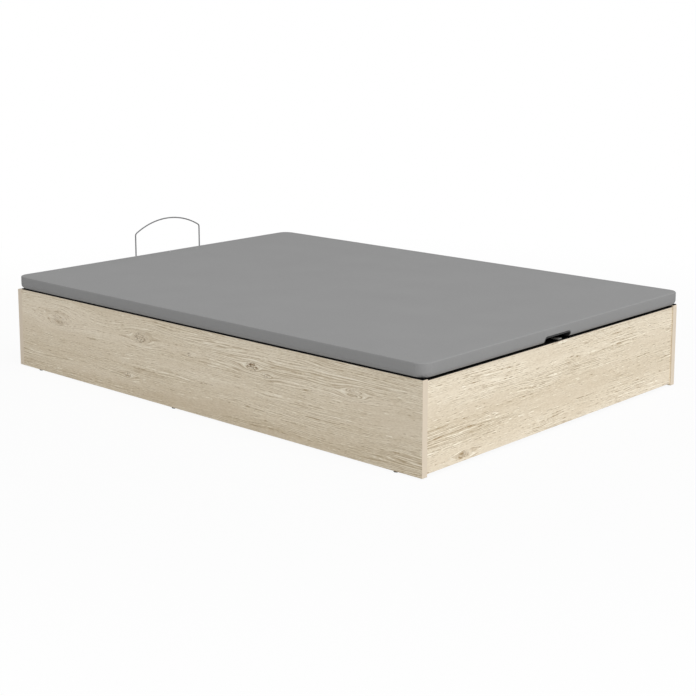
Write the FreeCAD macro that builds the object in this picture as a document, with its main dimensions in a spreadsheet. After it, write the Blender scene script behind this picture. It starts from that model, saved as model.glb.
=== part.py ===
import FreeCAD, Part
import os
import re

import Sketcher
from FreeCAD import Placement, Rotation, Vector

# A lift-up storage bed base. Millimetres; X across the bed, foot end at -Y, floor at Z = 0.

os.makedirs("parts", exist_ok=True)
doc = FreeCAD.newDocument("StorageBed")
sheet = doc.addObject("Spreadsheet::Sheet", "Sizes")

SIZES = [
    ("box_width", 1360, "outside of the two side panels"),
    ("box_length", 1900, "foot end of the side panels to the outside of the head panel"),
    ("panel_height", 281, "height of the side panels"),
    ("panel_thickness", 22, "thickness of all four panels"),
    ("panel_round", 1, "rounding of the panel edges"),
    ("foot_panel_drop", 5.5, "top of the foot panel below the side panels"),
    ("foot_panel_lift", 6.5, "underside of the foot panel above the side panels"),
    ("foot_panel_setback", 4, "foot panel behind the ends of the side panels"),
    ("glide_height", 5, "height of the floor glides"),
    ("glide_radius", 8, "radius of a floor glide"),
    ("glide_round", 1.5, "rounding under a floor glide"),
    ("glide_nail_radius", 1.5, "radius of the nail of a glide"),
    ("glide_nail_length", 18, "length of the nail of a glide"),
    ("glide_foot_margin", 104, "foot glides from the foot end of the panels"),
    ("glide_middle_run", 110, "middle glides from the middle"),
    ("glide_head_margin", 114, "head glides from the head end of the panels"),
    ("lid_gap", 3, "gap between side panels and lid"),
    ("lid_side_overhang", 5, "lid past the outside of a side panel"),
    ("lid_foot_overhang", 8.2, "lid past the foot end of the box"),
    ("lid_head_inset", 3, "lid short of the head end of the box"),
    ("lid_corner_radius", 34, "corner radius of the lid seen from above"),
    ("lid_edge_radius", 8, "rounding of the top edge of the lid"),
    ("lid_bottom_radius", 16, "rounding of the bottom edge of the lid"),
    ("cover_thickness", 2, "thickness of the fabric cover"),
    ("cover_hem", 45, "width of the cover turned under the frame"),
    ("edge_padding", 14, "thickness of the padding round the edge"),
    ("foam_thickness", 12, "thickness of the foam pad"),
    ("board_thickness", 10, "thickness of the lid board"),
    ("rail_height", 20, "height of the frame tube"),
    ("rail_width", 40, "width of the frame tube"),
    ("rail_wall", 1.5, "wall of the frame tube"),
    ("cup_offset", 44, "finger cup left of the middle"),
    ("cup_width", 140, "width of the finger cup"),
    ("cup_height", 20, "height of the finger cup"),
    ("cup_depth", 60, "depth of the finger cup"),
    ("cup_wall", 3, "wall of the finger cup"),
    ("cup_corner_radius", 12, "rounding of the upper corners of the cup"),
    ("cup_boss_radius", 6, "radius of a screw boss on the cup"),
    ("cup_screw_spacing", 84, "distance between the cup screws"),
    ("tab_shift", 11, "pull tab right of the middle of the cup"),
    ("tab_width", 16, "width of the pull tab"),
    ("tab_thickness", 3, "thickness of the pull tab"),
    ("tab_reach", 47, "pull tab from its pin to the middle of its lip"),
    ("tab_lip_radius", 2.2, "radius of the lip of the pull tab"),
    ("tab_barrel_radius", 3.6, "radius of the barrel of the pull tab"),
    ("tab_lift", 1.2, "pull tab above the underside of the lid"),
    ("tab_side_gap", 0.4, "pull tab to the lugs"),
    ("lug_thickness", 4, "thickness of the lugs that hold the pull tab"),
    ("tab_pin_radius", 1.5, "radius of the pin of the pull tab"),
    ("running_gap", 0.05, "radial clearance of the turning fits"),
    ("bow_offset", 32, "mattress stop right of the middle"),
    ("bow_width", 327, "distance between the legs of the mattress stop"),
    ("bow_height", 132, "top of the mattress stop above the lid"),
    ("bow_rise", 46, "rise of the arch of the mattress stop"),
    ("bow_bend_radius", 12, "bend between leg and arch"),
    ("bow_wire_radius", 2.5, "radius of the wire"),
    ("bow_leg_tail", 2, "end of the legs above the underside of the sockets"),
    ("socket_width", 14, "width of a socket of the mattress stop"),
    ("socket_depth", 8, "depth of a socket behind the lid"),
    ("socket_height", 18, "height of a socket"),
    ("socket_stem_radius", 5, "radius of the stem of a socket"),
    ("socket_round", 1.2, "rounding of the socket edges"),
    ("clamp_screw_radius", 2, "radius of a clamp screw"),
    ("bracket_leg", 40, "leg of a corner bracket"),
    ("bracket_top_clearance", 35.5, "corner brackets below the top of the foot panel"),
    ("bracket_thickness", 2.5, "thickness of a corner bracket"),
    ("bracket_clearance", 50, "corner brackets above the underside of the panels"),
    ("bracket_screw_margin", 20, "outer screws of a corner bracket to its ends"),
    ("screw_radius", 1.8, "radius of the shank of a wood screw"),
    ("screw_head_radius", 4.2, "radius of the head of a wood screw"),
    ("screw_head_height", 2.4, "height of the head of a wood screw"),
    ("screw_head_round", 1.2, "rounding of the head of a wood screw"),
    ("screw_length", 16, "length of the shank of a wood screw"),
    ("screw_gap", 0.05, "clearance round the shank of a screw"),
    ("cleat_size", 18, "height and width of the cleats"),
    ("cleat_screw_length", 32, "length of the shank of a cleat screw"),
    ("cleat_screw_margin", 130, "outer cleat screws to the ends of the cleat"),
    ("bottom_thickness", 3, "thickness of the bottom boards"),
    ("bottom_gap", 1, "bottom boards to the panels"),
    ("strip_flange", 10, "reach of the flanges of the joint strip"),
    ("strip_web", 2, "web of the joint strip"),
    ("strip_flange_thickness", 1, "thickness of the flanges of the joint strip"),
    ("stretcher_width", 60, "width of the stretcher"),
    ("dowel_radius", 4, "radius of a dowel"),
    ("dowel_length", 30, "length of a dowel"),
    ("dowel_spacing", 32, "distance between the dowels of one end"),
    ("centre_foot_radius", 18, "radius of the centre foot"),
    ("centre_foot_stem_radius", 4, "radius of the stem of the centre foot"),
    ("centre_foot_stem_length", 12, "length of the stem of the centre foot"),
    ("rest_strip_margin", 1.5, "edge of a rest strip to the edge of its panel"),
    ("rest_strip_foot_thickness", 2.7, "thickness of the strip on the foot panel"),
    ("rest_gap", 0.3, "rest strip below the lid"),
    ("hinge_spacing", 470, "distance between neighbouring hinges"),
    ("hinge_length", 90, "length of a hinge"),
    ("leaf_thickness", 2, "thickness of a hinge leaf"),
    ("leaf_gap", 1, "gap between the folded leaves"),
    ("leaf_panel_margin", 2, "lower leaf behind the inner edge of the head panel"),
    ("leaf_rail_reach", 34, "upper leaf past the head end of the frame"),
    ("knuckle_radius", 4, "radius of the hinge barrel"),
    ("knuckle_gap", 0.4, "gap between knuckles, and barrel to the other leaf"),
    ("hinge_pin_radius", 2.2, "radius of the hinge pin"),
    ("leaf_screw_spacing", 32, "distance between the screws of a leaf"),
    ("leaf_screw_length", 14, "length of a leaf screw"),
    ("leaf_screw_head_radius", 3.6, "radius of the head of a leaf screw"),
    ("strut_pivot_lift", 23, "lower strut pivot above the bottom boards"),
    ("strut_lid_drop", 24.5, "upper strut pivot below the hinge line"),
    ("strut_closed_angle", 56, "angle between the pivots seen from the hinge line"),
    ("strut_plane_inset", 18, "strut to the inside of the panel"),
    ("tube_radius", 10, "outside radius of the strut tube"),
    ("tube_wall", 1.4, "wall of the strut tube"),
    ("tube_floor", 4, "closed end of the strut tube"),
    ("tube_start", 16, "closed end of the tube from the lower pivot"),
    ("rod_show", 6, "rod showing when the lid is shut"),
    ("gland_length", 16, "length of the gland"),
    ("rod_radius", 4, "radius of the strut rod"),
    ("rod_entry", 6, "rod inside its eye"),
    ("piston_length", 10, "length of the piston"),
    ("piston_clearance", 4, "piston above the closed end when the lid is shut"),
    ("piston_gap", 0.1, "clearance of the piston in the tube"),
    ("eye_radius", 9, "radius of a strut eye"),
    ("eye_width", 12, "width of a strut eye"),
    ("eye_neck_radius", 5.4, "radius of the neck of a strut eye"),
    ("eye_neck_length", 18, "upper pivot to the end of the rod eye"),
    ("stud_radius", 4, "radius of a stud"),
    ("stud_collar_radius", 6.5, "radius of the collar of a stud"),
    ("stud_side_gap", 0.4, "eye to collar and clip"),
    ("stud_tail", 2, "stud past its clip"),
    ("clip_radius", 7, "radius of a clip"),
    ("clip_thickness", 1, "thickness of a clip"),
    ("plate_thickness", 3, "thickness of strut plates and brackets"),
    ("base_plate_foot_reach", 60, "strut base plate from its stud towards the foot"),
    ("base_plate_head_reach", 16, "strut base plate from its stud towards the head"),
    ("base_plate_below", 14, "base plate below the lower pivot"),
    ("base_plate_above", 52, "base plate above the lower pivot"),
    ("plate_screw_margin", 9, "screws to the edges of a plate"),
    ("lid_bracket_length", 84, "length of a strut lid bracket"),
    ("lid_bracket_tab", 30, "length of the hanging tab of a lid bracket"),
    ("lid_bracket_below", 13, "hanging tab below the upper pivot"),
    ("lid_bracket_web", 14, "strut to the hanging tab of the lid bracket"),
    ("lid_bracket_inset", 3, "lid bracket to the inside of the panel"),
    ("plate_round", 5, "rounding of plate corners"),
    ("bracket_screw_run", 26, "bracket screws from the corner"),
    ("short_screw_length", 12, "length of the screws in brackets and cup"),
    ("lug_half_length", 5, "half length of a lug"),
    ("clamp_screw_length", 3.5, "length of a clamp screw"),
]

DERIVED = {
    "half_width": "box_width / 2",
    "half_length": "box_length / 2",
    "inside": "box_width / 2 - panel_thickness",
    "panel_top": "glide_height + panel_height",
    "end_bottom": "glide_height + foot_panel_lift",
    "foot_top": "panel_top - foot_panel_drop",
    "lid_bottom": "panel_top + lid_gap",
    "head_top": "lid_bottom - 2 * leaf_thickness - leaf_gap",
    "foot_face": "-half_length + foot_panel_setback",
    "foot_inner": "foot_face + panel_thickness",
    "head_inner": "half_length - panel_thickness",
    "lid_half": "half_width + lid_side_overhang",
    "lid_foot": "-half_length - lid_foot_overhang",
    "lid_head": "half_length - lid_head_inset",
    "rail_bottom": "lid_bottom + cover_thickness",
    "rail_top": "rail_bottom + rail_height",
    "board_top": "rail_top + board_thickness",
    "foam_top": "board_top + foam_thickness",
    "lid_top": "foam_top + cover_thickness",
    "skin_pad": "cover_thickness + edge_padding",
    "core_half": "lid_half - skin_pad",
    "core_foot": "lid_foot + skin_pad",
    "core_head": "lid_head - skin_pad",
    "cup_back": "lid_foot + cup_depth",
    "cup_top": "lid_bottom + cup_height",
    "cup_ceiling": "cup_top - cup_wall",
    "tab_middle": "tab_shift - cup_offset",
    "tab_pin_y": "lid_foot + tab_reach + tab_lip_radius",
    "tab_pin_z": "lid_bottom + tab_lift + tab_barrel_radius",
    "tab_bottom": "lid_bottom + tab_lift",
    "lug_inner": "tab_width / 2 + tab_side_gap",
    "lug_outer": "lug_inner + lug_thickness",
    "axis_y": "half_length + knuckle_radius + knuckle_gap / 2",
    "axis_z": "lid_bottom - leaf_thickness - leaf_gap / 2",
    "bottom_top": "cleat_top + bottom_thickness",
    "strut_drop": "axis_z - bottom_top - strut_pivot_lift",
    "strut_lid_run": "(strut_drop - strut_lid_drop * closed_cos) / closed_sin",
    "upper_y": "axis_y - strut_lid_run",
    "upper_z": "axis_z - strut_lid_drop",
    "closed_cos": "cos(strut_closed_angle * 1 deg)",
    "closed_sin": "sin(strut_closed_angle * 1 deg)",
    "lower_y": "axis_y - strut_lid_run * closed_cos + strut_lid_drop * closed_sin",
    "lower_z": "axis_z - strut_lid_run * closed_sin - strut_lid_drop * closed_cos",
    "strut_reach": "sqrt(strut_lid_run * strut_lid_run + strut_lid_drop * strut_lid_drop)",
    "strut_length": "2 * strut_reach * sin(strut_closed_angle * 0.5 deg)",
    "strut_tilt": "atan((lower_y - upper_y) / (upper_z - lower_z))",
    "strut_x": "inside - strut_plane_inset",
    "tube_end": "strut_length - eye_neck_length - rod_show",
    "tube_bore": "tube_radius - tube_wall",
    "piston_start": "tube_start + tube_floor + piston_clearance",
    "rod_start": "piston_start + piston_length",
    "rod_end": "strut_length - eye_neck_length + rod_entry",
    "cleat_bottom": "end_bottom",
    "cleat_top": "end_bottom + cleat_size",
    "stretcher_half": "inside - cleat_size",
    "stretcher_top": "cleat_top - strip_flange_thickness",
    "bow_y": "lid_head + socket_depth / 2",
    "bow_top": "lid_top + bow_height",
    "bow_half": "bow_width / 2",
    "bow_radius": "(bow_half * bow_half + bow_rise * bow_rise) / (2 * bow_rise)",
    "socket_bottom": "(lid_bottom + lid_top - socket_height) / 2",
    "socket_top": "socket_bottom + socket_height",
    "bracket_bottom": "glide_height + bracket_clearance",
    "bracket_height": "foot_top - bracket_top_clearance - bracket_bottom",
}

for row, (alias, amount, meaning) in enumerate(SIZES, start=1):
    sheet.set(f"A{row}", meaning)
    sheet.set(f"B{row}", str(amount))
    sheet.setAlias(f"B{row}", alias)
doc.recompute()

ALIASES = {alias for alias, amount, meaning in SIZES}
FACING = {
    "x": Rotation(Vector(0, 1, 0), 90),
    "-x": Rotation(Vector(0, 1, 0), -90),
    "y": Rotation(Vector(1, 0, 0), -90),
    "-y": Rotation(Vector(1, 0, 0), 90),
    "z": Rotation(),
    "-z": Rotation(Vector(1, 0, 0), 180),
}
SIDES = (("left", "-"), ("right", ""))


def formula(text):
    """The expression for a text that uses sheet aliases and derived names."""
    def swap(match):
        word = match.group(0)
        if word in ALIASES:
            return "Sizes." + word
        if word in DERIVED:
            return "(" + formula(DERIVED[word]) + ")"
        return word
    return re.sub(r"[a-z][a-z_]*", swap, text)


def number(text):
    """The value of such a text."""
    found = sheet.evalExpression(formula(text))
    return float(getattr(found, "Value", found))


def bind(item, prop, text):
    item.setExpression(prop, formula(text))


def place(item, x="0", y="0", z="0", turn=FACING["z"]):
    item.Placement = Placement(Vector(), turn)
    for axis, text in zip("xyz", (x, y, z)):
        bind(item, "Placement.Base." + axis, text)
    return item


def block(name, x, y, z):
    """A box between pairs of texts."""
    item = doc.addObject("Part::Box", name)
    for prop, (low, high) in zip(("Length", "Width", "Height"), (x, y, z)):
        bind(item, prop, f"({high}) - ({low})")
    return place(item, x[0], y[0], z[0])


def round_bar(name, axis, radius, span, centre):
    """A cylinder along one axis; centre holds the texts of the other two coordinates."""
    item = doc.addObject("Part::Cylinder", name)
    bind(item, "Radius", radius)
    bind(item, "Height", f"({span[1]}) - ({span[0]})")
    start = list(centre)
    start.insert("xyz".index(axis), span[0])
    return place(item, *start, turn=FACING[axis])


def join(name, shapes):
    item = doc.addObject("Part::MultiFuse", name)
    item.Shapes = shapes
    item.Refine = True
    return item


def group(name, shapes):
    item = doc.addObject("Part::Compound", name)
    item.Links = shapes
    return item


def cut(name, base, tools):
    item = doc.addObject("Part::Cut", name)
    item.Base = base
    item.Tool = tools[0] if len(tools) == 1 else group(name + "_tools", tools)
    return item


def shared(name, first, second):
    item = doc.addObject("Part::Common", name)
    item.Base = first
    item.Tool = second
    return item


def outline(body, role, points):
    """A closed sketch on one of the body's planes, each corner bound to its pair of texts."""
    plane = next(item for item in body.Origin.OriginFeatures if item.Role == role)
    sketch = body.newObject("Sketcher::SketchObject", body.Name + "_outline")
    sketch.AttachmentSupport = [(plane, "")]
    sketch.MapMode = "FlatFace"
    corners = [Vector(number(x), number(y), 0) for x, y in points]
    for at, corner in enumerate(corners):
        sketch.addGeometry(Part.LineSegment(corner, corners[(at + 1) % len(corners)]), False)
    for at in range(len(corners)):
        sketch.addConstraint(Sketcher.Constraint("Coincident", at, 2, (at + 1) % len(corners), 1))
    for at, texts in enumerate(points):
        for axis, text in zip("XY", texts):
            rule = Sketcher.Constraint("Distance" + axis, -1, 1, at, 1, number(text))
            mark = f"corner{at}{axis}"
            sketch.renameConstraint(sketch.addConstraint(rule), mark)
            bind(sketch, "Constraints." + mark, text)
    return sketch


def padded(name, role, points, length):
    body = doc.addObject("PartDesign::Body", name)
    pad = body.newObject("PartDesign::Pad", name + "_pad")
    pad.Profile = outline(body, role, points)
    bind(pad, "Length", length)
    body.Tip = pad
    doc.recompute()
    return body


def turned(name, points):
    """A body turned about its own Z axis from (radius, height) texts."""
    body = doc.addObject("PartDesign::Body", name)
    spin = body.newObject("PartDesign::Revolution", name + "_turn")
    spin.Profile = outline(body, "XZ_Plane", points)
    axis = next(item for item in body.Origin.OriginFeatures if item.Role == "Z_Axis")
    spin.ReferenceAxis = (axis, [""])
    body.Tip = spin
    doc.recompute()
    return body


def rounded(body, radius, wanted):
    """Round those edges of a body whose bounds pass the test."""
    last = body.Tip
    names = [f"Edge{at}" for at, edge in enumerate(last.Shape.Edges, start=1) if wanted(edge.BoundBox)]
    fillet = body.newObject("PartDesign::Fillet", body.Name + "_round")
    fillet.Base = (last, names)
    bind(fillet, "Radius", radius)
    body.Tip = fillet
    doc.recompute()
    return body


def upright(box):
    return box.XLength + box.YLength < box.ZLength


def level(box):
    return box.ZLength < box.XLength + box.YLength


def every(box):
    return box.DiagonalLength > 0


def along_x(box):
    return box.XLength > box.YLength + box.ZLength


def along_y(box):
    return box.YLength > box.XLength + box.ZLength


def rectangle(x, y):
    return [(x[0], y[0]), (x[1], y[0]), (x[1], y[1]), (x[0], y[1])]


def copies(name, pattern, places):
    """One node of equal pieces: the pattern's shape at every (position, turn)."""
    solids = []
    for spot, turn in places:
        solid = pattern.Shape.copy()
        solid.Placement = Placement(Vector(*(number(text) for text in spot)), turn)
        solids.append(solid)
    item = doc.addObject("Part::Feature", name)
    item.Shape = Part.makeCompound(solids)
    item.Placement = Placement()
    return item


def centred(size):
    """The pair of texts that sits a size about zero."""
    return f"-({size}) / 2", f"({size}) / 2"


def across(sign, near, far):
    """The pair of x texts between two distances from the middle, on one side."""
    return (near, far) if sign == "" else (f"-({far})", f"-({near})")


def steps(low, high, count):
    """Evenly spaced texts from low to high."""
    return [f"({low}) + (({high}) - ({low})) * {at} / {count - 1}" for at in range(count)]


nodes = {}


def node(item, name):
    """Name a finished piece."""
    item.Label = name
    nodes[name] = item
    return item


# Fastener patterns and the holes they sit in.

def screw_pattern(name, length):
    body = turned(name, [
        ("0", f"-{length}"),
        ("screw_radius", f"2 * screw_radius - {length}"),
        ("screw_radius", "0"),
        ("screw_head_radius", "0"),
        ("screw_head_radius", "screw_head_height"),
        ("0", "screw_head_height"),
    ])
    return rounded(body, "screw_head_round", lambda box: box.ZMin > 0)


def hole_pattern(name, radius, low, high):
    return turned(name, rectangle(("0", f"{radius} + screw_gap"), (low, high)))


wood_screw = screw_pattern("wood_screw", "screw_length")
wood_hole = hole_pattern("wood_hole", "screw_radius", "-screw_length", "0")
cleat_screw = screw_pattern("cleat_screw", "cleat_screw_length")
cleat_hole = hole_pattern("cleat_hole", "screw_radius", "-cleat_screw_length", "0")
short_screw = screw_pattern("short_screw", "short_screw_length")
short_hole = hole_pattern("short_hole", "screw_radius", "-short_screw_length", "0")
leaf_screw = turned("leaf_screw", [
    ("0", "-leaf_screw_length"),
    ("screw_radius", "2 * screw_radius - leaf_screw_length"),
    ("screw_radius", "-leaf_thickness"),
    ("leaf_screw_head_radius", "0"),
    ("0", "0"),
])
leaf_hole = turned("leaf_hole", [
    ("0", "-leaf_screw_length"),
    ("screw_radius + screw_gap", "-leaf_screw_length"),
    ("screw_radius + screw_gap", "-leaf_thickness"),
    ("leaf_screw_head_radius + screw_gap", "0"),
    ("0", "0"),
])

wood_places = []
bracket_heights = steps("bracket_bottom + bracket_screw_margin",
                        "bracket_bottom + bracket_height - bracket_screw_margin", 3)
for side, sign in SIDES:
    inward = "x" if sign else "-x"
    for end, inner, back, facing in (("foot", "foot_inner", "+", "y"), ("head", "head_inner", "-", "-y")):
        for height in bracket_heights:
            spot = (f"{sign}(inside - bracket_thickness)", f"{inner} {back} bracket_screw_run", height)
            wood_places.append((spot, FACING[inward]))
            spot = (f"{sign}(inside - bracket_screw_run)", f"{inner} {back} bracket_thickness", height)
            wood_places.append((spot, FACING[facing]))
    for y in steps("lower_y - base_plate_foot_reach + plate_screw_margin",
                   "lower_y + base_plate_head_reach - plate_screw_margin", 2):
        for z in steps("lower_z + base_plate_above / 2",
                       "lower_z + base_plate_above - plate_screw_margin", 2):
            wood_places.append(((f"{sign}(inside - plate_thickness)", y, z), FACING[inward]))
node(copies("wood_screws", wood_screw, wood_places), "wood_screws")
wood_holes = copies("wood_holes", wood_hole, wood_places)

cleat_places = []
cleat_middle = "(cleat_bottom + cleat_top) / 2"
for y in steps("foot_inner + cleat_screw_margin", "head_inner - cleat_screw_margin", 6):
    cleat_places.append((("-stretcher_half", y, cleat_middle), FACING["x"]))
    cleat_places.append((("stretcher_half", y, cleat_middle), FACING["-x"]))
for x in steps("cleat_screw_margin - stretcher_half", "stretcher_half - cleat_screw_margin", 4):
    cleat_places.append(((x, "foot_inner + cleat_size", cleat_middle), FACING["y"]))
    cleat_places.append(((x, "head_inner - cleat_size", cleat_middle), FACING["-y"]))
node(copies("cleat_screws", cleat_screw, cleat_places), "cleat_screws")
cleat_holes = copies("cleat_holes", cleat_hole, cleat_places)

strut_screw_places = []
for side, sign in SIDES:
    for y in steps("upper_y - lid_bracket_length / 2 + plate_screw_margin",
                   "upper_y + lid_bracket_length / 2 - plate_screw_margin", 2):
        strut_screw_places.append(((f"{sign}strut_x", y, "lid_bottom - plate_thickness"), FACING["-z"]))
node(copies("lid_bracket_screws", short_screw, strut_screw_places), "lid_bracket_screws")
strut_screw_holes = copies("strut_screw_holes", short_hole, strut_screw_places)

cup_screw_places = []
for x in steps("-cup_offset - cup_screw_spacing / 2", "-cup_offset + cup_screw_spacing / 2", 2):
    cup_screw_places.append(((x, "lid_foot + cup_depth / 2", "cup_ceiling"), FACING["-z"]))
node(copies("cup_screws", short_screw, cup_screw_places), "cup_screws")
cup_screw_holes = copies("cup_screw_holes", short_hole, cup_screw_places)

lower_leaf_places = []
upper_leaf_places = []
for middle in ("-hinge_spacing", "0", "hinge_spacing"):
    for shift in ("-leaf_screw_spacing", "0", "leaf_screw_spacing"):
        x = f"{middle} + {shift}"
        spot = (x, "head_inner + panel_thickness / 2", "head_top + leaf_thickness")
        lower_leaf_places.append((spot, FACING["z"]))
        spot = (x, "core_head - rail_width / 2", "lid_bottom - leaf_thickness")
        upper_leaf_places.append((spot, FACING["-z"]))
node(copies("hinge_panel_screws", leaf_screw, lower_leaf_places), "hinge_panel_screws")
lower_leaf_holes = copies("lower_leaf_holes", leaf_hole, lower_leaf_places)
node(copies("hinge_lid_screws", leaf_screw, upper_leaf_places), "hinge_lid_screws")
upper_leaf_holes = copies("upper_leaf_holes", leaf_hole, upper_leaf_places)

# Floor glides.

glide = turned("glide", [
    ("0", "0"),
    ("glide_radius", "0"),
    ("glide_radius", "glide_height"),
    ("glide_nail_radius", "glide_height"),
    ("glide_nail_radius", "glide_height + glide_nail_length"),
    ("0", "glide_height + glide_nail_length"),
])
rounded(glide, "glide_round", lambda box: box.ZMax < number("glide_height") and box.XLength > 0)
glide_hole = hole_pattern("glide_hole", "glide_nail_radius", "glide_height",
                          "glide_height + glide_nail_length")
glide_places = []
for side, sign in SIDES:
    for y in ("glide_foot_margin - half_length", "glide_middle_run", "half_length - glide_head_margin"):
        spot = (f"{sign}(half_width - panel_thickness / 2)", y, "0")
        glide_places.append((spot, FACING["z"]))
node(copies("floor_glides", glide, glide_places), "floor_glides")
glide_holes = copies("glide_holes", glide_hole, glide_places)

# Panels.

for side, sign in SIDES:
    form = padded(f"side_form_{side}", "XY_Plane",
                  rectangle(across(sign, "inside", "half_width"), ("-half_length", "head_inner")),
                  "panel_height")
    rounded(form, "panel_round", every)
    place(form, z="glide_height")
    panel = cut(f"side_panel_{side}", form, [wood_holes, cleat_holes, glide_holes])
    node(panel, f"side_panel_{side}")

foot_form = padded("foot_form", "XY_Plane",
                   rectangle(("-inside", "inside"), ("foot_face", "foot_inner")), "foot_top - end_bottom")
rounded(foot_form, "panel_round", along_x)
place(foot_form, z="end_bottom")
node(cut("foot_panel", foot_form, [wood_holes, cleat_holes]), "foot_panel")

head_form = padded("head_form", "XY_Plane",
                   rectangle(("-half_width", "half_width"), ("head_inner", "half_length")),
                   "head_top - glide_height")
rounded(head_form, "panel_round", every)
place(head_form, z="glide_height")
node(cut("head_panel", head_form, [wood_holes, cleat_holes, lower_leaf_holes]), "head_panel")

# Corner brackets.

bracket_form = padded("bracket_form", "XY_Plane", [
    ("0", "0"),
    ("bracket_leg", "0"),
    ("bracket_leg", "bracket_thickness"),
    ("bracket_thickness", "bracket_thickness"),
    ("bracket_thickness", "bracket_leg"),
    ("0", "bracket_leg"),
], "bracket_height")
bracket_places = [
    (("-inside", "foot_inner", "bracket_bottom"), Rotation(Vector(0, 0, 1), 0)),
    (("inside", "foot_inner", "bracket_bottom"), Rotation(Vector(0, 0, 1), 90)),
    (("inside", "head_inner", "bracket_bottom"), Rotation(Vector(0, 0, 1), 180)),
    (("-inside", "head_inner", "bracket_bottom"), Rotation(Vector(0, 0, 1), 270)),
]
bracket_blanks = copies("bracket_blanks", bracket_form, bracket_places)
node(cut("corner_brackets", bracket_blanks, [wood_holes]), "corner_brackets")

# Bottom.

dowel = turned("dowel", rectangle(("0", "dowel_radius"), centred("dowel_length")))
dowel_hole = hole_pattern("dowel_hole", "dowel_radius", *centred("dowel_length"))
dowel_places = []
for x in ("-stretcher_half", "stretcher_half"):
    for y in centred("dowel_spacing"):
        dowel_places.append(((x, y, "(end_bottom + stretcher_top) / 2"), FACING["x"]))
node(copies("stretcher_dowels", dowel, dowel_places), "stretcher_dowels")
dowel_holes = copies("dowel_holes", dowel_hole, dowel_places)

for side, sign in SIDES:
    bar = block(f"cleat_bar_{side}", across(sign, "stretcher_half", "inside"),
                ("foot_inner", "head_inner"), ("cleat_bottom", "cleat_top"))
    node(cut(f"cleat_{side}", bar, [cleat_holes, dowel_holes]), f"cleat_{side}")
for end, low, high in (("foot", "foot_inner", "foot_inner + cleat_size"),
                       ("head", "head_inner - cleat_size", "head_inner")):
    bar = block(f"cleat_bar_{end}", ("-stretcher_half", "stretcher_half"),
                (low, high), ("cleat_bottom", "cleat_top"))
    node(cut(f"cleat_{end}", bar, [cleat_holes]), f"cleat_{end}")

bottom_x = ("bottom_gap - inside", "inside - bottom_gap")
bottom_z = ("cleat_top", "cleat_top + bottom_thickness")
node(block("bottom_board_foot", bottom_x, ("foot_inner + bottom_gap", "-strip_web / 2"), bottom_z),
     "bottom_board_foot")
node(block("bottom_board_head", bottom_x, ("strip_web / 2", "head_inner - bottom_gap"), bottom_z),
     "bottom_board_head")

strip_half = "strip_web / 2"
strip_levels = ("stretcher_top", "cleat_top", "cleat_top + bottom_thickness",
                "cleat_top + bottom_thickness + strip_flange_thickness")
strip = padded("joint_strip", "YZ_Plane", [
    ("-strip_flange", strip_levels[0]),
    ("strip_flange", strip_levels[0]),
    ("strip_flange", strip_levels[1]),
    (strip_half, strip_levels[1]),
    (strip_half, strip_levels[2]),
    ("strip_flange", strip_levels[2]),
    ("strip_flange", strip_levels[3]),
    ("-strip_flange", strip_levels[3]),
    ("-strip_flange", strip_levels[2]),
    (f"-{strip_half}", strip_levels[2]),
    (f"-{strip_half}", strip_levels[1]),
    ("-strip_flange", strip_levels[1]),
], "2 * stretcher_half")
node(place(strip, "-stretcher_half"), "joint_strip")

foot = turned("centre_foot", [
    ("0", "0"),
    ("centre_foot_radius", "0"),
    ("centre_foot_radius", "end_bottom"),
    ("centre_foot_stem_radius", "end_bottom"),
    ("centre_foot_stem_radius", "end_bottom + centre_foot_stem_length"),
    ("0", "end_bottom + centre_foot_stem_length"),
])
node(rounded(foot, "glide_round", lambda box: box.ZMax < number("end_bottom") and box.XLength > 0),
     "centre_foot")
stem_hole = hole_pattern("stem_hole", "centre_foot_stem_radius", "end_bottom",
                         "end_bottom + centre_foot_stem_length")
beam = block("stretcher_beam", ("-stretcher_half", "stretcher_half"), centred("stretcher_width"),
             ("end_bottom", "stretcher_top"))
node(cut("stretcher", beam, [dowel_holes, stem_hole]), "stretcher")

# Rest strips under the lid, and the strip that closes the view over the foot panel.

side_strips = []
for side, sign in SIDES:
    x = across(sign, "inside + rest_strip_margin", "half_width - rest_strip_margin")
    y = ("rest_strip_margin - half_length", "head_inner - rest_strip_margin")
    side_strips.append(block(f"rest_strip_{side}", x, y, ("panel_top", "lid_bottom - rest_gap")))
node(group("rest_strips_sides", side_strips), "rest_strips_sides")
foot_strip = block("rest_strip_foot", ("rest_strip_margin - inside", "inside - rest_strip_margin"),
                   ("foot_face + rest_strip_margin", "foot_inner - rest_strip_margin"),
                   ("foot_top", "foot_top + rest_strip_foot_thickness"))
node(foot_strip, "rest_strip_foot")

# Hinges.

KNUCKLES = 5


def hinge_leaf(name, y_start, z, own, bore, holes):
    """One leaf of the middle hinge: plate, its own knuckles and what joins them."""
    plate_end = "axis_y - knuckle_radius - knuckle_gap"
    pieces = [block(name + "_plate", centred("hinge_length"), (y_start, plate_end), z)]
    for at in own:
        x = (f"hinge_length * ({at} / {KNUCKLES} - 1 / 2) + knuckle_gap / 2",
             f"hinge_length * ({at + 1} / {KNUCKLES} - 1 / 2) - knuckle_gap / 2")
        pieces.append(block(f"{name}_arm_{at}", x, (plate_end, "axis_y"), z))
        pieces.append(round_bar(f"{name}_knuckle_{at}", "x", "knuckle_radius", x, ("axis_y", "axis_z")))
    pin_bore = round_bar(name + "_bore", "x", f"hinge_pin_radius + {bore}",
                         centred("hinge_length"), ("axis_y", "axis_z"))
    leaf = cut(name + "_pattern", join(name + "_blank", pieces), [pin_bore, holes])
    doc.recompute()
    return leaf


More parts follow.
